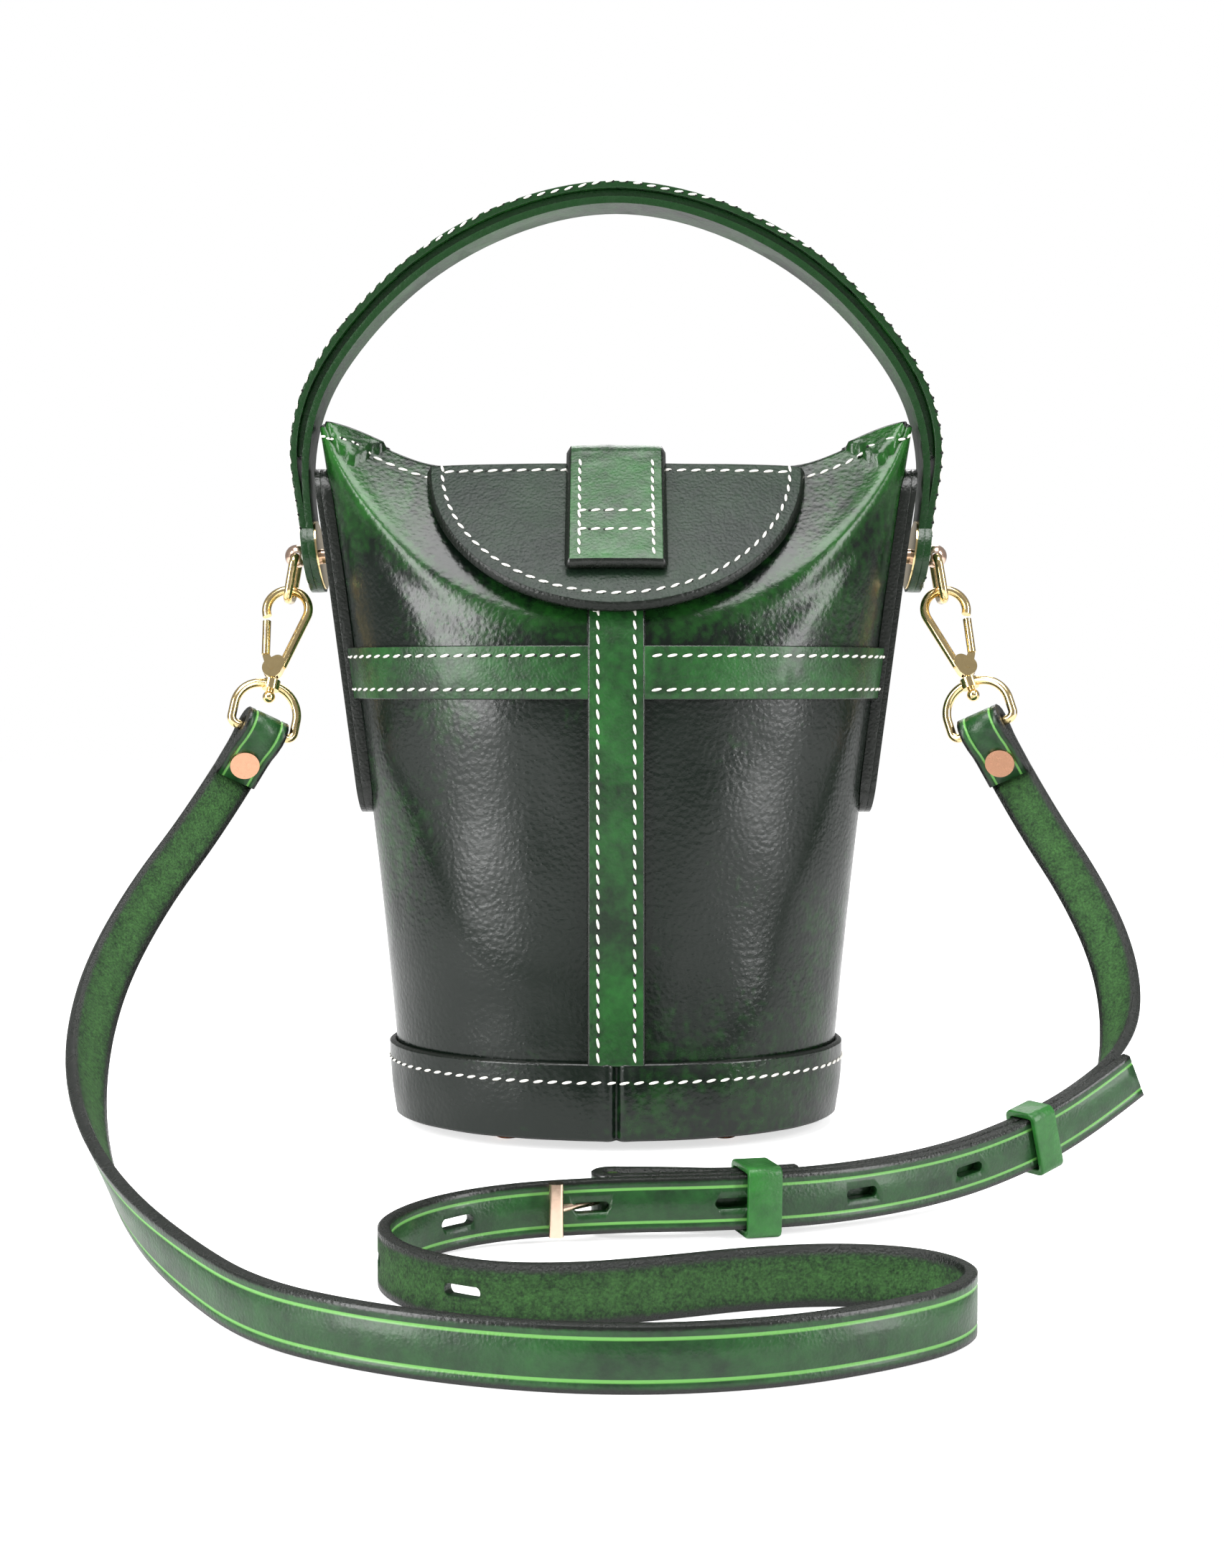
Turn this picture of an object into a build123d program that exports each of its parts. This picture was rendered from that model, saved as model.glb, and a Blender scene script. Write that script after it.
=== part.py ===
from build123d import *
import os
from math import asin, ceil, cos, degrees, pi, radians, sin, sqrt, tan

# Bucket bag of waxed leather: an oval bucket with a pinched mouth, a half-moon flap, an arched
# handle on two ball studs, and a two-part shoulder strap on swivel hooks.
# Millimetres, +Z up, front towards -Y, origin on the ground under the middle of the bag.

# ---- driving dimensions ----
FOOT_HIGH = 3.5             # ground to the underside of the base
BASE_THICK = 2.5
BAND_TOP = 23.0
BAND_THICK = 2.0
BASE_HALF_WIDE = 61.2       # body at the top of the base band
BASE_HALF_DEEP = 45.4
LEATHER = 2.0
MOUTH_Z = 181.0             # lip at the middle of the mouth
EAR_Z = 192.0               # lip at the two ears
MOUTH_HALF = 9.0            # half the outer depth of the pinched mouth
SLOPE = 0.9                 # how fast the pinched upper panels fall outwards
TRIM_THICK = 1.8            # straps sewn on the body
TRIM_HALF = 7.0             # half the width of those straps
BELT_LOW, BELT_HIGH = 117.5, 131.5
CENTRE_STRAP_TOP = 143.0
STRIP_HALF = 9.0            # side strips
STRIP_LOW, STRIP_HIGH = 86.0, 181.0
STRIP_THICK = 3.1
STUD_Z = 157.0
STUD_R = 2.0
STUD_BALL_X, STUD_BALL_R = 88.6, 3.2
PIN_GAP = 0.05              # radial clearance of a pin that turns
CLEAR = 0.35                # gap between pieces that move past each other

FLAP_R = 50.0
FLAP_TOP, FLAP_GAP = 3.5, 0.9     # along the slope from the lip, and off the panel
FLAP_LAYER = 1.8
TAB_HALF, TAB_LAYER = 12.25, 2.0
TAB_BEND = 3.6              # middle radius where the tab turns over the mouth
TAB_END = 44.3              # tab's lower end, along the slope
HINGE_Y, HINGE_Z = 4.0, 184.0
HINGE_CUT = 3.0             # leather hinge left free on each side of the axis

HANDLE_HALF = 7.0
HANDLE_END_R = 10.0
HANDLE_LAYER = 1.9
HANDLE_CORE = 2.2

RING_WIRE, HOOK_WIRE, LOOP_WIRE = 1.15, 1.25, 1.2      # radii
RING_DROP, RING_HALF = 11.8, 5.0
RING_LEAN = 10.0            # degrees
HOOK_R, HOOK_REACH = 5.8, 25.4
LOOP_HALF, LOOP_LONG = 9.0, 13.5

STRAP_HALF, STRAP_THICK = 6.0, 2.6
SLOT_FIRST, SLOT_PITCH, SLOT_COUNT = 61.5, 31.0, 7
SLOT_LONG, SLOT_HIGH = 8.0, 2.8
FOLD_R = 2.2                # inside radius of a fold round a bar

X, Y, Z = Vector(1, 0, 0), Vector(0, 1, 0), Vector(0, 0, 1)
FAR = 400.0
NODES = {}


def node(name, shape):
    NODES[name] = shape


def box(x0, x1, y0, y1, z0, z1):
    return Pos((x0 + x1) / 2, (y0 + y1) / 2, (z0 + z1) / 2) * Box(x1 - x0, y1 - y0, z1 - z0)


def rod(start, end, radius):
    """A round bar between two points."""
    run = Vector(end) - Vector(start)
    return extrude(Plane(origin=start, z_dir=run) * Circle(radius), run.length)


def mirrored(shape):
    return mirror(shape, about=Plane.YZ)


def kept(shape):
    return shape


# ---- body form ----
def half_wide(z):
    up = z - BAND_TOP - 1
    return BASE_HALF_WIDE + 0.09 * up + 0.00019 * up * up


def half_deep(z):
    return BASE_HALF_DEEP + 0.02 * (z - BAND_TOP - 1)


def section(z, grow):
    """Body outline at height z, grown outwards by grow: an oval, pinched flat near the mouth."""
    wide, deep = half_wide(z) + grow, half_deep(z) + grow
    quarter = [0.5 * pi * (k / 10) ** 1.7 for k in range(11)]
    angles = quarter + [pi - t for t in reversed(quarter[:-1])]
    front = []
    for t in angles:
        x, oval = wide * cos(t), deep * sin(t)
        pinch = MOUTH_HALF + SLOPE * (MOUTH_Z - z) + 10 * (x / 80) ** 6 + 1.35 * grow
        pinch = max(pinch, 3.0)
        depth = oval * (1 + (oval / pinch) ** 8) ** -0.125
        front.append((x, -depth, z))
    back = [(x, -y, zz) for x, y, zz in reversed(front[1:-1])]
    return Face(Wire([Spline(*front, *back, periodic=True)]))


def body_form(grow, low, high):
    heights = [z for z in (low, 30, 60, 90, 110, 122, 132, 140, 148, 158, 168, 178, 187)
               if low <= z < high - 2]
    return loft([section(z, grow) for z in heights + [high]])


def lip_prism():
    """What stays below the lip, seen from the front: high ears and a dipped middle."""
    right = [(0, MOUTH_Z), (49, MOUTH_Z), (56, 182.6), (65, 187.5), (75, 191.3), (83, EAR_Z), (95, EAR_Z)]
    left = [(-x, z) for x, z in reversed(right[1:])]
    points = [(x, 0, z) for x, z in left + right]
    outline = Polyline((-95, 0, 0), *points, (95, 0, 0), close=True)
    return extrude(Face(Wire(outline.edges())), 90, dir=(0, 1, 0), both=True)


def build_body():
    low = FOOT_HIGH + BASE_THICK
    outer, inner = body_form(0, low, 194), body_form(-LEATHER, low - 1, 196)
    shell = (outer - inner) & lip_prism()
    stud_hole = rod((-FAR, 0, STUD_Z), (FAR, 0, STUD_Z), STUD_R)
    snap_hole = snap_disc(4.2, -6, 3)
    front = (shell & box(-FAR, FAR, -FAR, 0, 0, FAR)) - stud_hole - snap_hole
    back = (shell & box(-FAR, FAR, 0, FAR, 0, FAR)) - stud_hole
    node("body_front_panel", front)
    node("body_back_panel", back)
    return outer


def build_base(outer):
    holes = [(x, y) for x in (-29, 29) for y in (-26, 26)]
    low = FOOT_HIGH + BASE_THICK
    pan = loft([section(FOOT_HIGH, -4.5), section(FOOT_HIGH + 1, -1.2), section(low, -0.2)], ruled=True)
    board = extrude(section(low, -LEATHER - 1.6), 2.0, dir=(0, 0, 1))
    screws = [Pos(x, y, 0) * rod((0, 0, FOOT_HIGH - 1.5), (0, 0, low + 2), 1.2)
              + Pos(x, y, 0) * rod((0, 0, low + 2), (0, 0, low + 3.2), 3.0) for x, y in holes]
    feet = []
    for x, y in holes:
        dome = Pos(x, y, 0) * (Cylinder(4.0, FOOT_HIGH, align=(Align.CENTER, Align.CENTER, Align.MIN)))
        dome = fillet(dome.edges().group_by(Axis.Z)[0], 2.0)
        feet.append(dome)
    for screw in screws:
        pan, board = pan - screw, board - screw
        feet = [foot - screw for foot in feet]
    band = body_form(BAND_THICK, low - 0.8, 30) - body_form(0, low - 1, 31) - outer
    band = band & box(-FAR, FAR, -FAR, FAR, low - 0.8, BAND_TOP)
    node("base_panel", pan)
    node("base_board", board - NODES["body_front_panel"] - NODES["body_back_panel"])
    node("base_band", band)
    node("feet", Compound(feet))
    node("foot_screws", Compound(screws))


def build_trim(outer):
    """Belt, centre straps and side strips sewn on the outside."""
    skin = body_form(TRIM_THICK, 15, 160) - outer
    strap = skin & box(-TRIM_HALF, TRIM_HALF, -FAR, FAR, BAND_TOP, CENTRE_STRAP_TOP)
    belt = skin & box(-FAR, FAR, -FAR, FAR, BELT_LOW, BELT_HIGH)
    for side, y0, y1 in (("front", -FAR, -STRIP_HALF - 0.1), ("back", STRIP_HALF + 0.1, FAR)):
        node("centre_strap_" + side, strap & box(-FAR, FAR, y0, y1, 0, FAR))
        node("belt_" + side + "_left", belt & box(-FAR, -TRIM_HALF, y0, y1, 0, FAR))
        node("belt_" + side + "_right", belt & box(TRIM_HALF, FAR, y0, y1, 0, FAR))
    heights = [STRIP_LOW, 110, 133, 157, STRIP_HIGH]
    silhouette = Rot(0, 0, 90) * SlotOverall(STRIP_HIGH - STRIP_LOW, 2 * STRIP_HALF)
    silhouette = Plane(origin=(0, 0, (STRIP_LOW + STRIP_HIGH) / 2), x_dir=Y, z_dir=X) * silhouette
    stadium = extrude(silhouette, FAR)
    stud_hole = rod((0, 0, STUD_Z), (FAR, 0, STUD_Z), STUD_R)
    for layer, near, far in (("inner", -6, STRIP_THICK / 2), ("outer", STRIP_THICK / 2, STRIP_THICK)):
        inside = [(half_wide(z) + near, 0, z) for z in heights]
        outside = [(half_wide(z) + far, 0, z) for z in heights]
        face = Face(Wire([Spline(*inside), Line(inside[-1], outside[-1]), Spline(*outside),
                          Line(inside[0], outside[0])]))
        plate = extrude(face, STRIP_HALF + 1, dir=(0, 1, 0), both=True) & stadium
        plate = plate - outer - stud_hole
        node("right_strip_" + layer, plate)
        node("left_strip_" + layer, mirrored(plate))


# ---- flap, tab and snap on the front slope ----
RUN = Vector(0, -SLOPE, -1).normalized()          # down the front slope
OUT = Vector(0, -1, SLOPE).normalized()           # off the front slope
LIP = Vector(0, -MOUTH_HALF, MOUTH_Z)


def on_slope(along, off):
    return LIP + RUN * along + OUT * off


def snap_disc(radius, low, high):
    centre = on_slope(36, 0)
    return rod(centre + OUT * low, centre + OUT * high, radius)


def build_flap():
    half_moon = Circle(FLAP_R) & Pos(0, -FLAP_R / 2, 0) * Rectangle(2 * FLAP_R, FLAP_R)
    half_moon += Pos(0, 0.5) * Rectangle(2 * FLAP_R, 1.0)
    for name, off in (("flap_lining", FLAP_GAP), ("flap_outer", FLAP_GAP + FLAP_LAYER)):
        plane = Plane(origin=on_slope(FLAP_TOP + 1, off), x_dir=X, z_dir=OUT)
        node(name, extrude(plane * half_moon, FLAP_LAYER))
    node("snap_cap", snap_disc(5.0, 0.25, FLAP_GAP))
    node("snap_socket", snap_disc(4.2, -3.0, -0.4))


def bent_strip(points, radius, near, far, half):
    """A bent strap of constant width in X: its layer between two offsets of a line in YZ."""
    def moved(offset):
        shifted = []
        for k, p in enumerate(points):
            before = (p - points[k - 1]).normalized() if k else None
            after = (points[k + 1] - p).normalized() if k + 1 < len(points) else None
            turn = (before or after) + (after or before)
            direction = turn.normalized()
            normal = Vector(0, -direction.Z, direction.Y)
            bend = (before or after).dot(direction)
            shifted.append(p + normal * (offset / bend))
        return shifted
    low, high = moved(near), moved(far)
    low_line = FilletPolyline(*low, radius=radius + near) if len(low) > 2 else Line(*low)
    high_line = FilletPolyline(*high, radius=radius + far) if len(high) > 2 else Line(*high)
    ends = [Line(low[0], high[0]), Line(low[-1], high[-1])]
    face = Face(Wire(low_line.edges() + high_line.edges() + ends))
    return extrude(face, half, dir=(1, 0, 0), both=True)


def build_tab():
    """The tab runs up the flap and over the mouth; behind the hinge it is sewn to the back."""
    off = FLAP_GAP + 2 * FLAP_LAYER + TAB_LAYER
    hinge = Vector(0, HINGE_Y, HINGE_Z)
    crest = on_slope((on_slope(0, off).Z - HINGE_Z) / -RUN.Z, off)
    front = [on_slope(TAB_END, off), crest, hinge - Y * HINGE_CUT]
    node("tab_lining", bent_strip(front, TAB_BEND, -TAB_LAYER, 0, TAB_HALF))
    node("tab_outer", bent_strip(front, TAB_BEND, 0, TAB_LAYER, TAB_HALF))
    back = [on_slope(along, TAB_LAYER + CLEAR) for along in (-1, 32)]
    back = [Vector(0, -p.Y, p.Z) for p in back]
    strip = bent_strip(back, 0, -TAB_LAYER, TAB_LAYER, TAB_HALF)
    rivet = rod((0, -1.5, HINGE_Z + TAB_LAYER), (0, -1.5, HINGE_Z + TAB_LAYER + 1.0), 2.5)
    node("tab_back", strip)
    node("tab_stud", rivet)


# ---- handle ----
def handle_curves():
    """Seam line of the right half of the arch, and how thick the core is along it."""
    seam = [(82.45, 147), (83.9, 157), (85.6, 170), (86.0, 183), (82.3, 200), (72.3, 216.5),
            (55.4, 233.6), (30, 248.2), (0, 254.4)]
    core = [0, 0, 0, 0.65, 1, 1, 1, 1, 1]
    points = [Vector(x, 0, z) for x, z in seam] + [Vector(-x, 0, z) for x, z in seam[-2::-1]]
    shares = core + core[-2::-1]
    line = Spline(*points)
    tangents = [line.tangent_at(line.param_at_point(p)) for p in points]
    normals = [Vector(-t.Z, 0, t.X) * -1 for t in tangents]

    def at(offset, core_share):
        moved = [p + n * (offset + core_share * HANDLE_CORE * s)
                 for p, n, s in zip(points, normals, shares)]
        return Spline(*moved)
    return at


def handle_layer(at, near, near_core, far, far_core):
    low, high = at(near, near_core), at(far, far_core)
    ends = [Line(low @ t, high @ t) for t in (0, 1) if ((low @ t) - (high @ t)).length > 0.01]
    face = Face(Wire([low, high] + ends))
    return extrude(face, HANDLE_END_R + 1, dir=(0, 1, 0), both=True)


def build_handle():
    at = handle_curves()
    outline = Pos(0, (270 + STUD_Z) / 2) * Rectangle(2 * HANDLE_HALF, 270 - STUD_Z)
    outline += Pos(0, STUD_Z) * Circle(HANDLE_END_R)
    stencil = extrude(Plane(origin=(0, 0, 0), x_dir=Y, z_dir=X) * outline, 100, both=True)
    hole = rod((-FAR, 0, STUD_Z), (FAR, 0, STUD_Z), STUD_R + PIN_GAP)
    node("handle_inner", (handle_layer(at, -HANDLE_LAYER, 0, 0, 0) & stencil) - hole)
    node("handle_outer", (handle_layer(at, 0, 1, HANDLE_LAYER, 1) & stencil) - hole)
    core = handle_layer(at, 0, 0, 0, 1) & box(-FAR, FAR, -5, 5, 184, FAR)
    node("handle_core", core)
    lean = Vector(0.14, 0, 1).normalized()
    face_out = Vector(lean.Z, 0, -lean.X)
    centre = Vector(83.9, 0, STUD_Z) - face_out * HANDLE_LAYER
    disc = rod(centre - face_out * 0.5, centre, HANDLE_END_R - 0.5) - hole - NODES["handle_inner"]
    node("handle_discs", Compound([disc, mirrored(disc)]))


# ---- studs, rings, swivel hooks ----
def build_stud(side, flip):
    ball = Pos(STUD_BALL_X, 0, STUD_Z) * Sphere(STUD_BALL_R)
    shank = rod((half_wide(STUD_Z) - LEATHER, 0, STUD_Z), (STUD_BALL_X, 0, STUD_Z), STUD_R)
    eye = rod((STUD_BALL_X, -6, STUD_Z - 0.4), (STUD_BALL_X, 6, STUD_Z - 0.4), RING_WIRE + 0.3)
    inside = half_wide(STUD_Z) - LEATHER
    base = rod((inside - 1.8, 0, STUD_Z), (inside, 0, STUD_Z), 4.5)
    base = base - (body_form(0.01, 140, 175) - body_form(-LEATHER - 0.01, 139, 176))
    node(side + "_stud", flip((ball + shank) - eye))
    node(side + "_stud_base", flip(base))


def ring_path():
    """Oval ring hung from the stud's eye; straight where it passes through the eye."""
    eye = Vector(STUD_BALL_X, 0, STUD_Z - 0.4)
    down = Vector(sin(radians(RING_LEAN)), 0, -cos(radians(RING_LEAN)))
    plane = Plane(origin=eye + down * (RING_DROP / 2), x_dir=Y, z_dir=Y.cross(down))
    return plane, eye + down * RING_DROP


def wire_loop(plane, outline, radius):
    """Round wire bent along a closed outline on a plane."""
    path = plane * outline
    start = path @ 0
    return sweep(Plane(origin=start, z_dir=path % 0) * Circle(radius), path=path)


def closed_round(half_x, half_y, corner):
    corners = [(-half_x, -half_y), (half_x, -half_y), (half_x, half_y), (-half_x, half_y)]
    return FilletPolyline(*corners, radius=corner, close=True)


def build_clasp(side, flip, lean):
    """Made on the right-hand side, then flipped: ring, hook, gate, pin and strap loop."""
    plane, ring_low = ring_path()
    ring = wire_loop(plane, closed_round(RING_HALF, RING_DROP / 2, 2.6), RING_WIRE)
    node(side + "_ring", flip(ring))
    up = Vector(-lean, 0.34, 0.92).normalized()
    across = (X - up * X.dot(up)).normalized()
    top = ring_low + up * (RING_WIRE + HOOK_WIRE + CLEAR)
    centre = top - up * HOOK_R
    knob = centre - up * HOOK_REACH
    face = Plane(origin=knob, x_dir=across, z_dir=across.cross(up))
    node(side + "_hook", flip(hook_body(face)))
    node(side + "_gate", flip(hook_gate(face)))
    node(side + "_gate_pin", flip(face * Pos(PIVOT[0], PIVOT[1]) * Cylinder(0.8, 3.4)))
    loop_across = Vector(0.863, -0.388, 0.322)
    loop_across = (loop_across - up * loop_across.dot(up)).normalized()
    loop_face = Plane(origin=knob, x_dir=loop_across, z_dir=loop_across.cross(up))
    node(side + "_strap_loop", flip(strap_loop(loop_face)))
    return knob - up * (LOOP_LONG - BOSS_V)


PIVOT = (0.9, 7.7)          # gate pivot, across and up from the swivel knob
BOSS_V = 2.9                # middle of the loop's boss above the knob
GATE_TOP = (4.95, 21.2)


def hook_body(face):
    """Teardrop hook: a bent bar from the housing round the top to the nose above the gate."""
    arc_v, taper = HOOK_REACH, radians(14)
    shoulder = (-HOOK_R * cos(taper), arc_v - HOOK_R * sin(taper))
    left = [(shoulder[0] + 15.9 * sin(taper), shoulder[1] - 15.9 * cos(taper)), shoulder]
    nose_angle = radians(-28)
    nose = (HOOK_R * cos(nose_angle), arc_v + HOOK_R * sin(nose_angle))
    bend = ThreePointArc(left[1], (0, arc_v + HOOK_R), nose)
    path = face * Wire([Line(*left), bend])
    bar = sweep(Plane(origin=path @ 0, z_dir=path % 0) * Circle(HOOK_WIRE), path=path)
    housing = make_hull([*(Pos(0.6, 7.6) * Circle(2.7)).edges(), *(Pos(-0.6, 9.4) * Circle(2.0)).edges(),
                         *(Pos(0.1, 6.3) * Circle(1.5)).edges()])
    housing = extrude(housing, 1.6, both=True)
    cheek_gap = Pos(PIVOT[0] + 1.0, PIVOT[1] + 1.6) * Box(6.4, 8.2, 1.9)
    post = face * rod((0, 0, 0), (0, 5.0, 0), 1.0)
    knob = face * Pos(0, -0.6, 0) * Sphere(1.7)
    pin_hole = Pos(PIVOT[0], PIVOT[1]) * Cylinder(0.8, 8)
    return bar + face * (housing - cheek_gap - pin_hole) + post + knob


def hook_gate(face):
    """Spring gate: a flat bar from the pivot up to the hook's nose, on the open side."""
    foot = Pos(PIVOT[0], PIVOT[1]) * Cylinder(1.7, 1.2)
    blade_line = [(PIVOT[0], PIVOT[1]), (3.3, 11.5), GATE_TOP]
    blade = Plane.XY * make_hull([*(Pos(*blade_line[0]) * Circle(1.4)).edges(),
                                  *(Pos(3.0, 11.0) * Circle(1.0)).edges()])
    slim = extrude(blade, 0.6, both=True)
    upper = rod((*blade_line[1], 0), (*blade_line[2], 0), 1.15)
    pivot_hole = Pos(PIVOT[0], PIVOT[1]) * Cylinder(0.8 + PIN_GAP, 8)
    return face * ((foot + slim + upper) - pivot_hole)


def strap_loop(face):
    """D-shaped loop with a boss that turns on the swivel post."""
    top, low = BOSS_V, BOSS_V - LOOP_LONG
    points = [(-LOOP_HALF, low), (LOOP_HALF, low), (LOOP_HALF, top), (-LOOP_HALF, top)]
    outline = FilletPolyline(*points, radius=[2.0, 2.0, 8.0, 8.0], close=True)
    ring = wire_loop(face, outline, LOOP_WIRE)
    boss = face * rod((0, top - 1.4, 0), (0, top + 1.4, 0), 2.3)
    bore = face * rod((0, -4, 0), (0, top + 6, 0), 1.0 + PIN_GAP)
    return (ring + boss) - bore


# ---- shoulder strap ----
# Routes follow the middle of each strap, with the way its width points at each corner.
LONG_ROUTE = [
    # down from the left hook, twisting
    (-112.5, -17.0, 83.0, 0.80, 0.34, -0.49),
    (-121.5, -40.0, 67.0, 0.77, 0.34, -0.54),
    (-126.5, -66.0, 51.0, 0.73, 0.35, -0.59),
    (-125.3, -92.0, 38.6, 0.66, 0.36, -0.66),
    (-120.0, -118.0, 28.2, 0.52, 0.33, -0.79),
    (-111.0, -143.0, 19.6, 0.36, 0.28, -0.89),
    (-98.5, -166.5, 12.8, 0.20, 0.18, -0.96),
    (-83.5, -187.5, 8.3, 0.06, 0.06, -1.0),
    (-67.0, -209.0, 6.1, 0, 0, -1),
    # along the ground in front
    (-45.0, -224.5, 6.05, 0, 0, -1),
    (-19.0, -234.5, 6.05, 0, 0, -1),
    (5.0, -237.2, 6.05, 0, 0, -1),
    (29.0, -232.8, 6.05, 0, 0, -1),
    (49.5, -222.4, 6.05, 0, 0, -1),
    (62.5, -212.0, 6.05, 0, 0, -1),
    (67.5, -199.5, 6.05, 0, 0, -1),
    (60.5, -187.5, 6.05, 0, 0, -1),
    (45.0, -183.2, 6.05, 0, 0, -1),
    (27.0, -185.8, 6.05, 0, 0, -1),
    (9.0, -192.8, 6.05, 0, 0, -1),
    (-8.5, -198.2, 6.05, 0, 0, -1),
    (-26.5, -197.2, 6.05, 0, 0, -1),
    (-42.5, -185.0, 6.05, 0, 0, -1),
    (-49.0, -166.5, 6.1, 0, 0, -1),
    (-42.0, -148.5, 6.3, 0, 0, -1),
    (-26.0, -137.4, 7.0, 0, 0, -1),
    (-3.0, -134.2, 7.8, 0, 0, -1),
    (24.0, -133.9, 8.2, 0, 0, -1),
    (50.0, -125.0, 7.6, 0, 0, -1),
    (77.0, -109.0, 8.6, 0, 0, -1),
    (99.0, -93.0, 12.6, 0, 0, -1),
    (115.0, -82.5, 19.0, 0.10, 0.12, -0.98),
    (126.5, -76.5, 26.0, 0.22, 0.2, -0.93),
]
SHORT_ROUTE = [
    # down from the right hook, then along behind the long strap
    (115.0, -15.5, 83.5, -0.80, 0.34, -0.49),
    (122.5, -32.5, 68.5, -0.78, 0.34, -0.53),
    (127.5, -49.0, 52.5, -0.72, 0.36, -0.60),
    (127.6, -60.5, 37.5, -0.58, 0.38, -0.72),
    (121.5, -71.0, 25.5, -0.34, 0.26, -0.90),
    (112.0, -80.3, 18.2, -0.10, 0.10, -0.99),
    (97.0, -90.5, 12.6, 0, 0, -1),
    (75.2, -106.4, 8.6, 0, 0, -1),
    (48.9, -122.1, 7.7, 0, 0, -1),
    (23.4, -131.0, 8.2, 0, 0, -1),
    (-1.0, -131.3, 7.9, 0, 0, -1),
]


def corner_radii(route):
    """0.45 of the shorter run at each corner, over the tangent of half the turn."""
    radii = []
    for before, here, after in zip(route, route[1:], route[2:]):
        first, second = here - before, after - here
        turn = radians(first.get_angle(second))
        radii.append(0.45 * min(first.length, second.length) / tan(turn / 2))
    return radii


def strap_path(table, name):
    route = [Vector(*row[:3]) for row in table]
    radii = corner_radii(route)
    print(name, "radii", [round(r, 1) for r in radii])
    return FilletPolyline(*route, radius=radii), [Vector(*row[3:]) for row in table]


def flat_strap(path, widths):
    """Flat strap along the path: rectangles at the arcs' stations, joined by ruled faces."""
    stations = []
    edges = path.edges()
    for k, edge in enumerate(edges):
        corner = (k + 1) // 2
        if edge.geom_type == GeomType.LINE:
            if k == 0:
                stations.append((edge @ 0, edge % 0, widths[0]))
            if k == len(edges) - 1:
                stations.append((edge @ 1, edge % 1, widths[-1]))
            continue
        turn = degrees(edge.length / edge.radius)
        steps = max(1, ceil(turn / 9))
        for i in range(steps + 1):
            stations.append((edge @ (i / steps), edge % (i / steps), widths[corner]))
    rings = []
    for place, along, wide in stations:
        wide = (wide - along * wide.dot(along)).normalized() * STRAP_HALF
        thick = along.cross(wide).normalized() * (STRAP_THICK / 2)
        rings.append(Wire.make_polygon([place + wide + thick, place - wide + thick,
                                        place - wide - thick, place + wide - thick]))
    return Solid.make_loft(rings, ruled=True)


def fold_plane(bar, along, wide):
    """Local frame of a strap end folded round a bar: x along the strap, z across it."""
    wide = (wide - along * wide.dot(along)).normalized()
    return Plane(origin=bar, x_dir=along, z_dir=wide)


FOLD_OUT = FOLD_R + STRAP_THICK
TAB_LONG, RIVET_AT = 16.2, 9.8
LAYER_IN = 0.15             # half the gap between the two layers at the rivet
LAYER_GAP = 0.35            # gap between straps that lie side by side


def folded_end(plane):
    """Half round fold, a short riveted tab in front and the start of the strap behind."""
    fold = Circle(FOLD_OUT) - Circle(FOLD_R)
    fold = fold & Pos(-FOLD_OUT / 2, 0) * Rectangle(FOLD_OUT, 2 * FOLD_OUT)
    layers = []
    for sign in (1, -1):
        tab = [(0, FOLD_R), (5.6, LAYER_IN), (TAB_LONG, LAYER_IN), (TAB_LONG, LAYER_IN + STRAP_THICK),
               (5.6, LAYER_IN + STRAP_THICK), (0, FOLD_OUT)]
        layers.append(make_face(Polyline(*[(x, sign * y) for x, y in tab], close=True)))
    flat = fold + layers[0] + layers[1]
    solid = extrude(flat, STRAP_HALF, both=True)
    hole = Pos(RIVET_AT, 0, 0) * Rot(90, 0, 0) * Cylinder(1.6, 20)
    return plane * (solid - hole), plane * strap_rivet()


def strap_rivet():
    reach = LAYER_IN + STRAP_THICK
    shank = Rot(90, 0, 0) * Cylinder(1.6, 2 * reach)
    cap = Pos(0, reach + 0.5, 0) * Rot(90, 0, 0) * Cylinder(3.95, 1.0)
    back = Pos(0, -reach - 0.5, 0) * Rot(90, 0, 0) * Cylinder(3.95, 1.0)
    return Pos(RIVET_AT, 0, 0) * (shank + cap + back)


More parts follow.
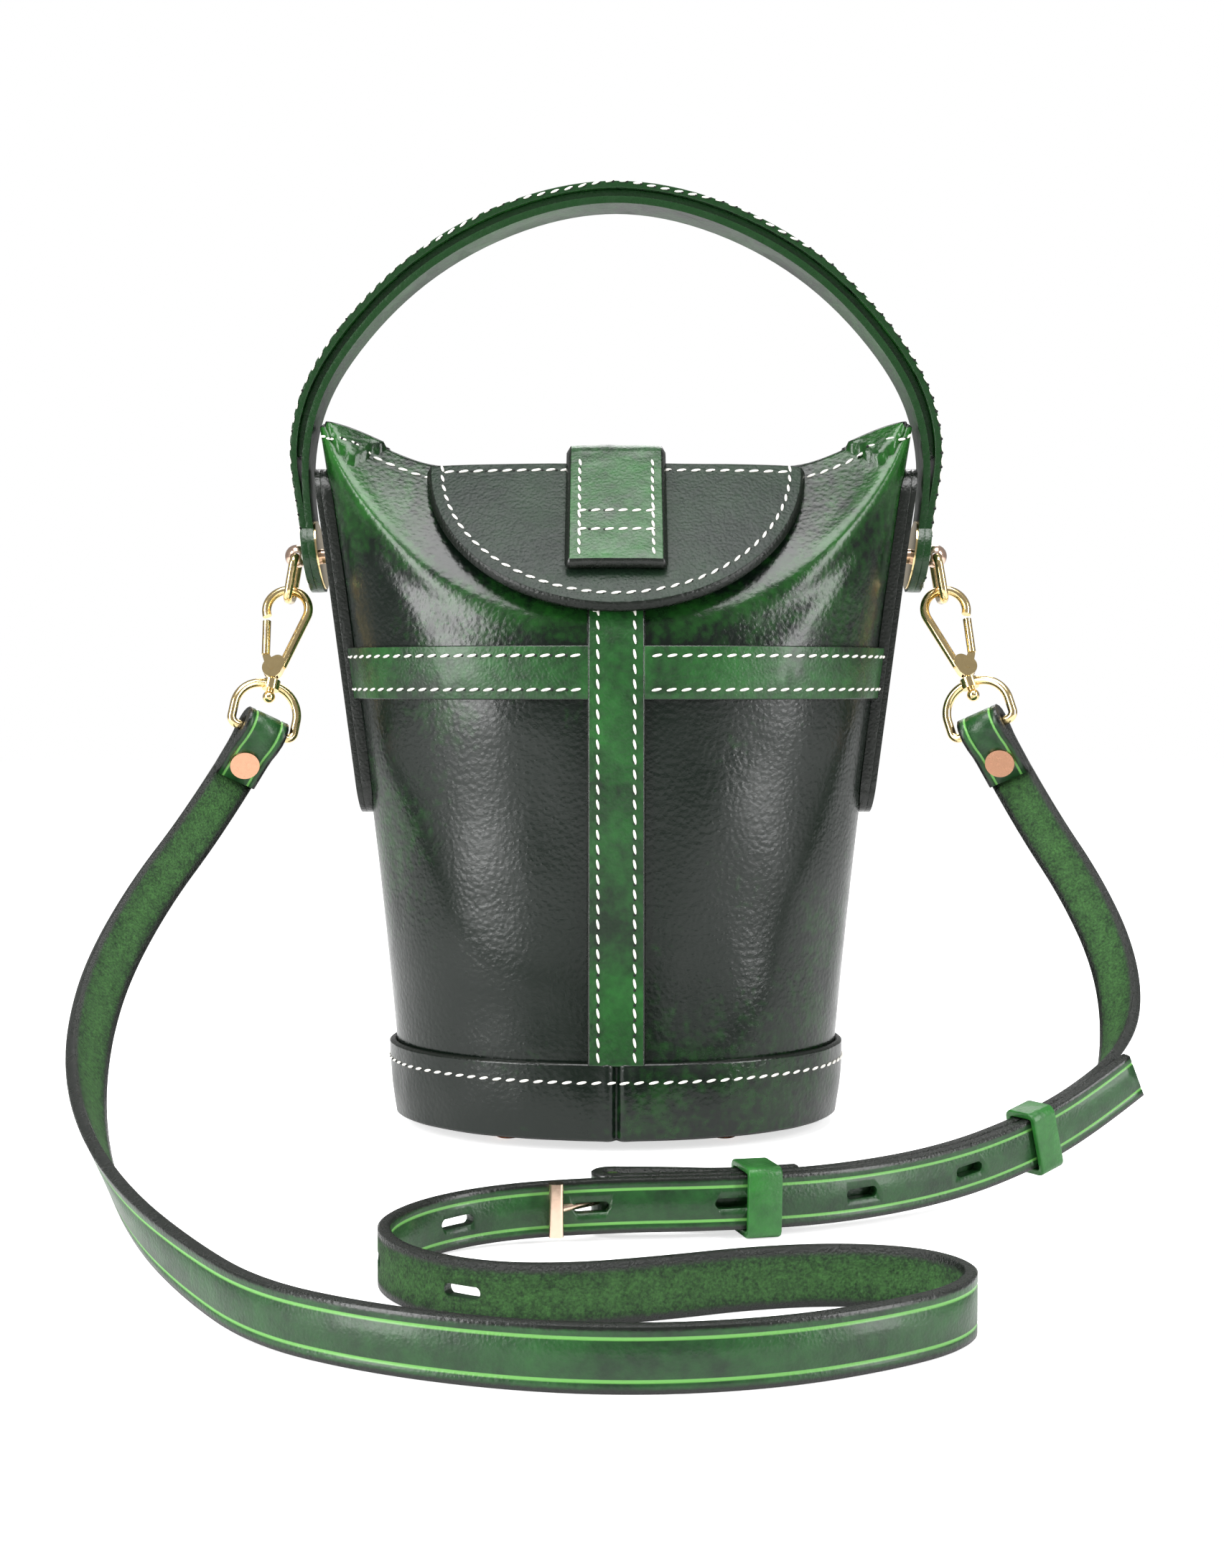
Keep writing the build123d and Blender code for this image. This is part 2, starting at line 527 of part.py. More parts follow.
def build_straps(left_bar, right_bar):
    left = fold_plane(left_bar, Vector(-0.53, 0.25, -0.81).normalized(), Vector(0.82, 0.38, -0.43))
    right = fold_plane(right_bar, Vector(0.50, 0.20, -0.84).normalized(), Vector(-0.82, 0.38, -0.43))
    back_y = LAYER_IN + STRAP_THICK / 2
    ends = {}
    for side, plane, sign in (("left", left, 1), ("right", right, -1)):
        end, rivet = folded_end(plane)
        node(side + "_strap_rivet", rivet)
        start = plane.from_local_coords(Vector(TAB_LONG, sign * back_y, 0))
        width = plane.z_dir
        ends[side] = (end, start, width)
    long_table = [(*ends["left"][1], *ends["left"][2])] + LONG_ROUTE
    short_table = [(*ends["right"][1], *ends["right"][2])] + SHORT_ROUTE
    long_path, long_widths = strap_path(long_table, "strap_long")
    short_path, short_widths = strap_path(short_table, "strap_short")
    long_strap = flat_strap(long_path, long_widths)
    spots = []
    for k in range(SLOT_COUNT):
        at = 1 - (SLOT_FIRST + k * SLOT_PITCH) / long_path.length
        place, along = long_path @ at, long_path % at
        slot = Plane(origin=place, x_dir=along, z_dir=along.cross(Z)) * SlotOverall(SLOT_LONG, SLOT_HIGH)
        long_strap = long_strap - extrude(slot, 3, both=True)
        spots.append((place, along))
    long_strap = long_strap + ends["left"][0]
    node("strap_long", long_strap)
    short_strap = flat_strap(short_path, short_widths)
    bar = short_path @ 1 + Y * (FOLD_R + STRAP_THICK / 2)
    fold = Circle(FOLD_OUT) - Circle(FOLD_R)
    fold = fold & Pos(-FOLD_OUT / 2, 0) * Rectangle(FOLD_OUT, 2 * FOLD_OUT)
    fold_solid = Pos(*bar) * extrude(fold, STRAP_HALF, both=True)
    stem_way = box(bar.X - 8, bar.X + 0.5, bar.Y - 6, bar.Y, bar.Z - 1.4, bar.Z + 1.4)
    short_strap = (short_strap + fold_solid - stem_way) + ends["right"][0] + tail_strap(bar)
    node("strap_short", short_strap)
    build_keepers(long_path)
    build_toggle(bar, spots[3])


def tail_strap(bar):
    """The short strap's tail, folded back behind the pair of straps."""
    y0 = bar.Y + FOLD_R + STRAP_THICK / 2
    table = [(bar.X, y0, bar.Z), (11.0, y0 - 1.1, 8.1), (25.0, -127.8, 8.2), (40.0, -121.6, 7.9)]
    route = [Vector(*p) for p in table]
    path = FilletPolyline(*route, radius=corner_radii(route))
    return flat_strap(path, [Z * -1] * len(route))


def build_keepers(path):
    """Two loose leather loops round the straps."""
    for name, from_tip, layers, long in (("keeper_front", 113.0, 3, 7.8), ("keeper_end", 33.0, 2, 7.0)):
        at = 1 - from_tip / path.length
        keeper(name, path @ at, path % at, layers, long)


def keeper(name, place, along, layers, long):
    """A rounded loop of 1.5 mm leather that clears its straps all round."""
    back = along.cross(Z).normalized() * -1
    pitch = STRAP_THICK + LAYER_GAP
    deep, high = layers * pitch + 2 * CLEAR, 2 * STRAP_HALF + 2 * CLEAR
    frame = Plane(origin=place + back * ((layers - 1) * pitch / 2), x_dir=back, z_dir=along)
    hollow = RectangleRounded(deep, high, 0.6)
    shell = RectangleRounded(deep + 3.0, high + 3.0, 2.0) - hollow
    node(name, extrude(frame * shell, long / 2, both=True))


def build_toggle(bar, slot):
    """Cross bar in front of the long strap, its stem, and the pin held in the short strap's fold."""
    pin = rod(bar - Z * 5.6, bar + Z * 5.6, 1.1)
    place, along = slot
    head_at = place + along.cross(Z).normalized() * (STRAP_THICK / 2 + CLEAR + 1.9) - along * 4.0
    head_at = Vector(head_at.X, head_at.Y, bar.Z)
    head = fillet((Pos(*head_at) * Box(3.2, 3.0, 11.6)).edges().filter_by(Axis.Z), 0.9)
    through = Vector(place.X + 0.4, place.Y, bar.Z)
    stem = rod(bar, through, 0.9) + rod(through, head_at, 0.9) + Pos(*through) * Sphere(0.9)
    node("toggle", pin + stem + head)


def main():
    outer = build_body()
    build_base(outer)
    build_trim(outer)
    build_flap()
    build_tab()
    build_handle()
    for side, flip in (("right", kept), ("left", mirrored)):
        build_stud(side, flip)
    right_bar = build_clasp("right", kept, 0.25)
    left_bar = build_clasp("left", mirrored, 0.15)
    left_bar = Vector(-left_bar.X, left_bar.Y, left_bar.Z)
    build_straps(left_bar, right_bar)
    for name, shape in NODES.items():
        shape.label = name
        export_step(shape, "parts/" + name + ".step")


os.makedirs("parts", exist_ok=True)
main()
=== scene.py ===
"""Green leather bucket bag: half-moon flap, arched handle, shoulder strap on swivel hooks."""
from math import cos, pi, radians, sin
import bmesh
import bpy
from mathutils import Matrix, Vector, noise
from mathutils.bvhtree import BVHTree


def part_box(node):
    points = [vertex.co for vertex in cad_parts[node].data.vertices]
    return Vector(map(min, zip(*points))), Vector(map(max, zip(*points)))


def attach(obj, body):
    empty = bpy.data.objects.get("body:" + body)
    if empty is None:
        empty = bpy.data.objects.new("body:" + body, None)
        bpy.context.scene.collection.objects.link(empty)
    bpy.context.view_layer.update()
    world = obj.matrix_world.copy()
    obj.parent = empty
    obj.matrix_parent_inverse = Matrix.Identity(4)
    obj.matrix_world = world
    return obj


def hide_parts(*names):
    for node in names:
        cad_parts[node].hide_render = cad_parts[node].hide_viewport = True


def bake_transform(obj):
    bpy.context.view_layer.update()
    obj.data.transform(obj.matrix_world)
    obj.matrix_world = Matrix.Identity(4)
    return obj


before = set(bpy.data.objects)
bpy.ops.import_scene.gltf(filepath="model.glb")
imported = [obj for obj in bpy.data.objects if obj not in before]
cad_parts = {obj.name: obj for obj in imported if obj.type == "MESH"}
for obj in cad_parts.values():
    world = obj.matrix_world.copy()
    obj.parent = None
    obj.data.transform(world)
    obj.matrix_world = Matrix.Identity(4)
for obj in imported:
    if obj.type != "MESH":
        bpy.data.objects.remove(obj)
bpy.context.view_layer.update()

MM = 0.001
LEATHER = 2.0
BAND_TOP = 23.0
BELT_LOW, BELT_HIGH = 117.5, 131.5
STRAP_HALF, STRAP_THICK = 6.0, 2.6
SLOPE_RUN = Vector((0, -0.66896, -0.74330))
SLOPE_OUT = Vector((0, -0.74330, 0.66896))
LIP = Vector((0, -9.0, 181.0))
SORT_WAY = Vector((1.0, 7.1313, 53.7171))

# ---- camera -------------------------------------------------------------------------
camera = bpy.data.objects.new("camera", bpy.data.cameras.new("camera"))
bpy.context.scene.collection.objects.link(camera)
camera.data.lens, camera.data.sensor_width = 49.45, 36.0
camera.location = (-0.0011, -0.600, 0.1208)
camera.rotation_euler = (radians(90 - 2.58), 0, 0)
bpy.context.scene.camera = camera
bpy.context.scene.view_settings.view_transform = "Standard"


# ---- shared finishes ----------------------------------------------------------------
def node_group(name, inputs, outputs):
    group = bpy.data.node_groups.new(name, "ShaderNodeTree")
    for label, kind, value in inputs:
        socket = group.interface.new_socket(label, in_out="INPUT", socket_type=kind)
        socket.default_value = value
    for label, kind in outputs:
        group.interface.new_socket(label, in_out="OUTPUT", socket_type=kind)
    start = group.nodes.new("NodeGroupInput")
    end = group.nodes.new("NodeGroupOutput")
    return group, start, end


def add(tree, kind, **values):
    node = tree.nodes.new(kind)
    for key, value in values.items():
        setattr(node, key, value)
    return node


def maths(tree, work, first, second, clamp=False):
    node = add(tree, "ShaderNodeMath", operation=work, use_clamp=clamp)
    for socket, value in zip(node.inputs, (first, second)):
        if isinstance(value, (int, float)):
            socket.default_value = value
        else:
            tree.links.new(value, socket)
    return node.outputs[0]


def make_grain_group():
    """Pebbles with fine pores between them, as a height."""
    group, start, end = node_group("hide grain", [
        ("Pebble", "NodeSocketFloat", 900.0), ("Pore", "NodeSocketFloat", 2600.0),
        ("Crease", "NodeSocketFloat", 60.0)],
        [("Height", "NodeSocketFloat"), ("Soft", "NodeSocketFloat")])
    place = add(group, "ShaderNodeTexCoord").outputs["Object"]
    pebble = add(group, "ShaderNodeTexVoronoi", feature="SMOOTH_F1")
    group.links.new(place, pebble.inputs["Vector"])
    group.links.new(start.outputs["Pebble"], pebble.inputs["Scale"])
    pore = add(group, "ShaderNodeTexNoise")
    pore.inputs["Detail"].default_value = 4.0
    group.links.new(place, pore.inputs["Vector"])
    group.links.new(start.outputs["Pore"], pore.inputs["Scale"])
    crease = add(group, "ShaderNodeTexNoise")
    crease.inputs["Detail"].default_value = 3.0
    crease.inputs["Distortion"].default_value = 1.2
    group.links.new(place, crease.inputs["Vector"])
    group.links.new(start.outputs["Crease"], crease.inputs["Scale"])
    fold = maths(group, "ABSOLUTE", maths(group, "SUBTRACT", crease.outputs[0], 0.5), 0.0)
    fold = maths(group, "MINIMUM", maths(group, "MULTIPLY", fold, 5.0), 1.0)
    stone = maths(group, "SUBTRACT", 1.0, pebble.outputs["Distance"])
    total = maths(group, "ADD", maths(group, "MULTIPLY", stone, 0.55),
                  maths(group, "MULTIPLY", pore.outputs[0], 0.25))
    total = maths(group, "ADD", total, maths(group, "MULTIPLY", fold, 0.14))
    group.links.new(total, end.inputs["Height"])
    group.links.new(fold, end.inputs["Soft"])
    return group


def make_mottle_group():
    """Two dye shades clouded into each other, lighter where the lightening mark is high: wax pulled pale
    at folds, and on the body panels also a painted highlight.
    """
    group, start, end = node_group("waxed dye and painted highlight", [
        ("Deep", "NodeSocketColor", (0, 0, 0, 1)), ("Bright", "NodeSocketColor", (1, 1, 1, 1)),
        ("Cloud", "NodeSocketFloat", 25.0), ("Spread", "NodeSocketFloat", 0.5)],
        [("Color", "NodeSocketColor"), ("Mask", "NodeSocketFloat")])
    place = add(group, "ShaderNodeTexCoord").outputs["Object"]
    cloud = add(group, "ShaderNodeTexNoise")
    cloud.inputs["Detail"].default_value = 6.0
    cloud.inputs["Roughness"].default_value = 0.62
    group.links.new(place, cloud.inputs["Vector"])
    group.links.new(start.outputs["Cloud"], cloud.inputs["Scale"])
    fine = add(group, "ShaderNodeTexNoise")
    fine.inputs["Scale"].default_value = 420.0
    fine.inputs["Detail"].default_value = 5.0
    group.links.new(place, fine.inputs["Vector"])
    # the lightening mark: pulled wax in part, and painted highlight along the body's fold and below the
    # flap
    wax_pull_and_highlight = add(group, "ShaderNodeAttribute", attribute_name="wax_pull_and_highlight")
    both = maths(group, "ADD", maths(group, "MULTIPLY", cloud.outputs[0], 0.7),
                 maths(group, "MULTIPLY", fine.outputs[0], 0.3))
    both = maths(group, "SUBTRACT", both, 0.5)
    both = maths(group, "MULTIPLY", both, 3.2)
    both = maths(group, "ADD", both, start.outputs["Spread"])
    both = maths(group, "ADD", both, wax_pull_and_highlight.outputs["Fac"], clamp=True)
    mix = add(group, "ShaderNodeMix", data_type="RGBA")
    group.links.new(both, mix.inputs[0])
    group.links.new(start.outputs["Deep"], mix.inputs[6])
    group.links.new(start.outputs["Bright"], mix.inputs[7])
    group.links.new(mix.outputs[2], end.inputs["Color"])
    group.links.new(both, end.inputs["Mask"])
    return group


def make_burnish_group():
    """Cut edges rubbed dark and smooth: the edge attribute is 1 on the cut."""
    group, start, end = node_group("burnished edge", [
        ("Color", "NodeSocketColor", (0, 0, 0, 1)), ("Edge Color", "NodeSocketColor", (0, 0, 0, 1)),
        ("Rough", "NodeSocketFloat", 0.4), ("Edge Rough", "NodeSocketFloat", 0.3)],
        [("Color", "NodeSocketColor"), ("Rough", "NodeSocketFloat"), ("Edge", "NodeSocketFloat")])
    mark = add(group, "ShaderNodeAttribute", attribute_name="edge")
    ragged = add(group, "ShaderNodeTexNoise")
    ragged.inputs["Scale"].default_value = 700.0
    place = add(group, "ShaderNodeTexCoord").outputs["Object"]
    group.links.new(place, ragged.inputs["Vector"])
    near = maths(group, "ADD", mark.outputs["Fac"], maths(group, "MULTIPLY", ragged.outputs[0], 0.3))
    near = maths(group, "SUBTRACT", near, 0.55)
    near = maths(group, "MULTIPLY", near, 3.0, clamp=True)
    shade = add(group, "ShaderNodeMix", data_type="RGBA")
    group.links.new(near, shade.inputs[0])
    group.links.new(start.outputs["Color"], shade.inputs[6])
    group.links.new(start.outputs["Edge Color"], shade.inputs[7])
    rough = add(group, "ShaderNodeMix", data_type="FLOAT")
    group.links.new(near, rough.inputs[0])
    group.links.new(start.outputs["Rough"], rough.inputs[2])
    group.links.new(start.outputs["Edge Rough"], rough.inputs[3])
    group.links.new(shade.outputs[2], end.inputs["Color"])
    group.links.new(rough.outputs[0], end.inputs["Rough"])
    group.links.new(near, end.inputs["Edge"])
    return group


GRAIN, MOTTLE, BURNISH = make_grain_group(), make_mottle_group(), make_burnish_group()


def place_group(tree, group, **values):
    node = add(tree, "ShaderNodeGroup", node_tree=group)
    for key, value in values.items():
        node.inputs[key.replace("_", " ")].default_value = value
    return node


def new_material(name):
    material = bpy.data.materials.new(name)
    material.use_nodes = True
    tree = material.node_tree
    return material, tree, tree.nodes["Principled BSDF"]


def leather(name, deep, bright, pebble=900.0, depth=0.3, rough=0.38, coat=0.25, cloud=25.0,
            spread=0.3, edge=(0.006, 0.008, 0.006, 1), crease=60.0, lines=False, shine=0.35):
    material, tree, shader = new_material(name)
    grain = place_group(tree, GRAIN, Pebble=pebble, Pore=pebble * 3, Crease=crease)
    dye = place_group(tree, MOTTLE, Deep=(*deep, 1), Bright=(*bright, 1), Cloud=cloud, Spread=spread)
    burnish = place_group(tree, BURNISH, Edge_Color=edge, Rough=rough, Edge_Rough=0.25)
    colour = dye.outputs["Color"]
    if lines:
        # two pressed lines near the borders, where the dye rubs light
        mark = add(tree, "ShaderNodeAttribute", attribute_name="pressed")
        mix = add(tree, "ShaderNodeMix", data_type="RGBA")
        mix.inputs[7].default_value = (0.13, 0.36, 0.08, 1)
        tree.links.new(mark.outputs["Fac"], mix.inputs[0])
        tree.links.new(colour, mix.inputs[6])
        colour = mix.outputs[2]
    tree.links.new(colour, burnish.inputs["Color"])
    tree.links.new(burnish.outputs["Color"], shader.inputs["Base Color"])
    vary = maths(tree, "MULTIPLY", grain.outputs["Soft"], 0.08)
    tree.links.new(maths(tree, "ADD", burnish.outputs["Rough"], vary), shader.inputs["Roughness"])
    bump = add(tree, "ShaderNodeBump")
    bump.inputs["Strength"].default_value = depth
    bump.inputs["Distance"].default_value = 0.0006
    tree.links.new(grain.outputs["Height"], bump.inputs["Height"])
    tree.links.new(bump.outputs[0], shader.inputs["Normal"])
    shader.inputs["Coat Weight"].default_value = coat
    shader.inputs["Coat Roughness"].default_value = 0.13
    shader.inputs["Specular IOR Level"].default_value = shine
    shader.inputs["IOR"].default_value = 1.5
    return material


def metal(name, colour, rough):
    material, tree, shader = new_material(name)
    place = add(tree, "ShaderNodeTexCoord").outputs["Object"]
    wear = add(tree, "ShaderNodeTexNoise")
    wear.inputs["Scale"].default_value = 900.0
    wear.inputs["Detail"].default_value = 5.0
    tree.links.new(place, wear.inputs["Vector"])
    tarnish = add(tree, "ShaderNodeMix", data_type="RGBA")
    tarnish.inputs[6].default_value = (*colour, 1)
    tarnish.inputs[7].default_value = (*[c * 0.72 for c in colour], 1)
    tree.links.new(maths(tree, "MULTIPLY", wear.outputs[0], 0.5), tarnish.inputs[0])
    tree.links.new(tarnish.outputs[2], shader.inputs["Base Color"])
    spread = maths(tree, "MULTIPLY", wear.outputs[0], 0.12)
    tree.links.new(maths(tree, "ADD", spread, rough), shader.inputs["Roughness"])
    bump = add(tree, "ShaderNodeBump")
    bump.inputs["Strength"].default_value = 0.05
    bump.inputs["Distance"].default_value = 0.0002
    tree.links.new(wear.outputs[0], bump.inputs["Height"])
    tree.links.new(bump.outputs[0], shader.inputs["Normal"])
    shader.inputs["Metallic"].default_value = 1.0
    return material


def plain(name, colour, rough, scale):
    material, tree, shader = new_material(name)
    place = add(tree, "ShaderNodeTexCoord").outputs["Object"]
    fibre = add(tree, "ShaderNodeTexNoise")
    fibre.inputs["Scale"].default_value = scale
    tree.links.new(place, fibre.inputs["Vector"])
    mix = add(tree, "ShaderNodeMix", data_type="RGBA")
    mix.inputs[6].default_value = (*colour, 1)
    mix.inputs[7].default_value = (*[c * 0.78 for c in colour], 1)
    tree.links.new(fibre.outputs[0], mix.inputs[0])
    tree.links.new(mix.outputs[2], shader.inputs["Base Color"])
    shader.inputs["Roughness"].default_value = rough
    bump = add(tree, "ShaderNodeBump")
    bump.inputs["Strength"].default_value = 0.3
    bump.inputs["Distance"].default_value = 0.0002
    tree.links.new(fibre.outputs[0], bump.inputs["Height"])
    tree.links.new(bump.outputs[0], shader.inputs["Normal"])
    return material


BODY_HIDE = leather("waxed body hide", (0.0025, 0.0060, 0.0035), (0.012, 0.085, 0.010), 850, 0.30,
                    0.20, 0.12, 16.0, -0.12, crease=45.0, shine=0.30)
TRIM_HIDE = leather("trim hide", (0.003, 0.014, 0.004), (0.012, 0.095, 0.014), 1300, 0.35, 0.34,
                    0.15, 40.0, 0.40, crease=180.0)
HANDLE_HIDE = leather("handle hide", (0.003, 0.012, 0.004), (0.014, 0.100, 0.014), 1300, 0.3, 0.33,
                      0.15, 30.0, 0.35, edge=(0.005, 0.028, 0.006, 1), crease=120.0)
FLAP_HIDE = leather("flap hide", (0.005, 0.011, 0.007), (0.010, 0.028, 0.012), 1150, 0.55, 0.38,
                    0.03, 30.0, 0.25, crease=55.0, shine=0.25)
STRAP_HIDE = leather("strap hide", (0.004, 0.022, 0.006), (0.012, 0.075, 0.014), 1500, 0.3, 0.36,
                     0.12, 60.0, 0.40, lines=True)
STRAP_FLESH = leather("strap flesh side", (0.006, 0.022, 0.006), (0.040, 0.125, 0.028), 2200, 0.9,
                      0.8, 0.0, 1500.0, 0.30)
KEEPER_HIDE = leather("keeper hide", (0.008, 0.060, 0.010), (0.022, 0.150, 0.022), 1500, 0.3, 0.34,
                      0.12, 60.0, 0.50)
THREAD = plain("waxed thread", (0.82, 0.80, 0.74), 0.55, 4000.0)
# dark discs that stand for the shade inside the awl holes: painted shade
AWL_HOLE_SHADE = plain("awl hole painted shade", (0.004, 0.006, 0.004), 0.9, 900.0)
BOARD = plain("base board", (0.03, 0.03, 0.03), 0.8, 500.0)
GOLD = metal("polished gold", (0.86, 0.66, 0.33), 0.10)
ROSE = metal("rose gold", (0.87, 0.62, 0.48), 0.12)
COPPER = metal("copper", (0.72, 0.38, 0.24), 0.20)


# ---- mesh helpers -------------------------------------------------------------------
def new_piece(name, vertices, faces, material, marks=None, face_slots=None):
    """A mesh piece from points in millimetres. marks: name -> a value for each point."""
    mesh = bpy.data.meshes.new(name)
    mesh.from_pydata([[c * MM for c in v] for v in vertices], [], faces)
    for key, values in (marks or {}).items():
        layer = mesh.attributes.new(key, "FLOAT", "POINT")
        layer.data.foreach_set("value", values)
    for one in material if isinstance(material, (list, tuple)) else [material]:
        mesh.materials.append(one)
    if face_slots:
        mesh.polygons.foreach_set("material_index", face_slots)
    mesh.polygons.foreach_set("use_smooth", [True] * len(mesh.polygons))
    shell = bmesh.new()
    shell.from_mesh(mesh)
    bmesh.ops.remove_doubles(shell, verts=shell.verts, dist=1e-6)
    bmesh.ops.recalc_face_normals(shell, faces=shell.faces)
    shell.to_mesh(mesh)
    shell.free()
    piece = bpy.data.objects.new(name, mesh)
    bpy.context.scene.collection.objects.link(piece)
    return piece


def finished(piece, body, *nodes, slot=None):
    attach(piece, body)
    if nodes:
        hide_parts(*nodes)
    return piece


def steps(low, high, count, rim=0.0):
    """Even steps with one more close to each end, for a crisp rounded rim."""
    values = [low + (high - low) * k / count for k in range(count + 1)]
    if rim:
        values[1:1] = [low + rim]
        values[-1:-1] = [high - rim]
    return values


def sheet_piece(name, place, us, vs, thick, material, wrap=False, wax_pull_and_highlight=None, edges=(1, 1, 1, 1)):
    """A closed leather sheet. place(u, v) gives the grain side's point and outward normal.
    Its four cut edges are rounded and marked for the burnish."""
    points, edge, wax_and_highlight_marks, faces = [], [], [], []
    nu, nv = len(us), len(vs)

    def rim_share(i, j):
        low_u = not wrap and i == 0 and edges[0]
        high_u = not wrap and i == nu - 1 and edges[1]
        return 1.0 if low_u or high_u or (j == 0 and edges[2]) or (j == nv - 1 and edges[3]) else 0.0

    grid = [[place(u, v) for v in vs] for u in us]
    for share in (0.0, 1.0):
        for i in range(nu):
            for j in range(nv):
                point, out = grid[i][j]
                points.append(point - out * thick * share)
                edge.append(rim_share(i, j))
                wax_and_highlight_marks.append(wax_pull_and_highlight(us[i], vs[j]) if wax_pull_and_highlight else 0.0)

    def at(layer, i, j):
        return layer * nu * nv + (i % nu) * nv + j

    last = nu if wrap else nu - 1
    for i in range(last):
        for j in range(nv - 1):
            faces.append((at(0, i, j), at(0, i + 1, j), at(0, i + 1, j + 1), at(0, i, j + 1)))
            faces.append((at(1, i, j), at(1, i, j + 1), at(1, i + 1, j + 1), at(1, i + 1, j)))
    if wrap:
        rims = [[(i, 0) for i in range(nu)], [(i, nv - 1) for i in range(nu)]]
    else:
        loop = [(i, 0) for i in range(nu)] + [(nu - 1, j) for j in range(1, nv)]
        loop += [(i, nv - 1) for i in range(nu - 2, -1, -1)] + [(0, j) for j in range(nv - 2, 0, -1)]
        rims = [loop]
    for ring in rims:
        base = len(points)
        for i, j in ring:
            point, out = grid[i][j]
            inner_i = min(max(i, 1), nu - 2) if not wrap else i
            inner_j = min(max(j, 1), nv - 2)
            away = point - grid[inner_i][inner_j][0]
            away = away - out * away.dot(out)
            bulge = away.normalized() * thick * 0.3 if away.length > 1e-6 else Vector()
            points.append(point - out * thick / 2 + bulge)
            edge.append(1.0)
            wax_and_highlight_marks.append(0.0)
        for k, (i, j) in enumerate(ring):
            i2, j2 = ring[(k + 1) % len(ring)]
            n2 = base + (k + 1) % len(ring)
            faces.append((at(0, i, j), at(0, i2, j2), n2, base + k))
            faces.append((base + k, n2, at(1, i2, j2), at(1, i, j)))
    return new_piece(name, points, faces, material, {"edge": edge, "wax_pull_and_highlight": wax_and_highlight_marks})


def cut_copy(name, node, material, bevel=0.5):
    """A CAD solid's shape with its cut edges rounded, and an edge mark, all nought here, that mark_edges
    sets for the burnish.
    """
    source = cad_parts[node]
    mesh = source.data.copy()
    mesh.materials.clear()
    mesh.materials.append(material)
    shell = bmesh.new()
    shell.from_mesh(mesh)
    bmesh.ops.remove_doubles(shell, verts=shell.verts, dist=2e-6)
    bmesh.ops.dissolve_limit(shell, angle_limit=radians(1.0), verts=shell.verts, edges=shell.edges)
    sharp = [e for e in shell.edges if len(e.link_faces) == 2 and e.calc_face_angle(0) > radians(35)]
    if bevel and sharp:
        bmesh.ops.bevel(shell, geom=sharp, offset=bevel * MM, segments=2, profile=0.6,
                        affect="EDGES", clamp_overlap=True)
    bmesh.ops.triangulate(shell, faces=[f for f in shell.faces if len(f.verts) > 4])
    for f in shell.faces:
        f.smooth = True
        f.material_index = 0
    # rounding leaves the corners in any order, and the stitches need the same one each run
    shell.verts.sort(key=lambda v: v.co.dot(SORT_WAY))
    shell.faces.sort(key=lambda f: f.calc_center_median().dot(SORT_WAY))
    shell.verts.index_update()
    shell.to_mesh(mesh)
    shell.free()
    mesh.name = name
    layer = mesh.attributes.new("edge", "FLOAT", "POINT")
    layer.data.foreach_set("value", [0.0] * len(mesh.vertices))
    piece = bpy.data.objects.new(name, mesh)
    bpy.context.scene.collection.objects.link(piece)
    return piece


def mark_edges(piece, is_edge):
    """Burnish the faces that are the cut edge, as is_edge(centre, normal) says in millimetres."""
    values = [0.0] * len(piece.data.vertices)
    for face in piece.data.polygons:
        if is_edge(face.center / MM, face.normal):
            for v in face.vertices:
                values[v] = 1.0
    piece.data.attributes["edge"].data.foreach_set("value", values)


# ---- the shoulder strap --------------------------------------------------------------
LONG_RUN = [  # control points and the strap's width direction there
    (-105.431, -8.037, 96.235, 0.82, 0.38, -0.43),
    (-112.5, -17.0, 83.0, 0.80, 0.34, -0.49), (-121.5, -40.0, 67.0, 0.77, 0.34, -0.54),
    (-126.5, -66.0, 51.0, 0.73, 0.35, -0.59), (-125.3, -92.0, 38.6, 0.66, 0.36, -0.66),
    (-120.0, -118.0, 28.2, 0.52, 0.33, -0.79), (-111.0, -143.0, 19.6, 0.36, 0.28, -0.89),
    (-98.5, -166.5, 12.8, 0.20, 0.18, -0.96), (-83.5, -187.5, 8.3, 0.06, 0.06, -1.0),
    (-67.0, -209.0, 6.1, 0, 0, -1), (-45.0, -224.5, 6.05, 0, 0, -1),
    (-19.0, -234.5, 6.05, 0, 0, -1), (5.0, -237.2, 6.05, 0, 0, -1),
    (29.0, -232.8, 6.05, 0, 0, -1), (49.5, -222.4, 6.05, 0, 0, -1),
    (62.5, -212.0, 6.05, 0, 0, -1), (67.5, -199.5, 6.05, 0, 0, -1),
    (60.5, -187.5, 6.05, 0, 0, -1), (45.0, -183.2, 6.05, 0, 0, -1),
    (27.0, -185.8, 6.05, 0, 0, -1), (9.0, -192.8, 6.05, 0, 0, -1),
    (-8.5, -198.2, 6.05, 0, 0, -1), (-26.5, -197.2, 6.05, 0, 0, -1),
    (-42.5, -185.0, 6.05, 0, 0, -1), (-49.0, -166.5, 6.1, 0, 0, -1),
    (-42.0, -148.5, 6.3, 0, 0, -1), (-26.0, -137.4, 7.0, 0, 0, -1),
    (-3.0, -134.2, 7.8, 0, 0, -1), (24.0, -133.9, 8.2, 0, 0, -1),
    (50.0, -125.0, 7.6, 0, 0, -1), (77.0, -109.0, 8.6, 0, 0, -1),
    (99.0, -93.0, 12.6, 0, 0, -1), (115.0, -82.5, 19.0, 0.10, 0.12, -0.98),
    (126.5, -76.5, 26.0, 0.22, 0.2, -0.93)]
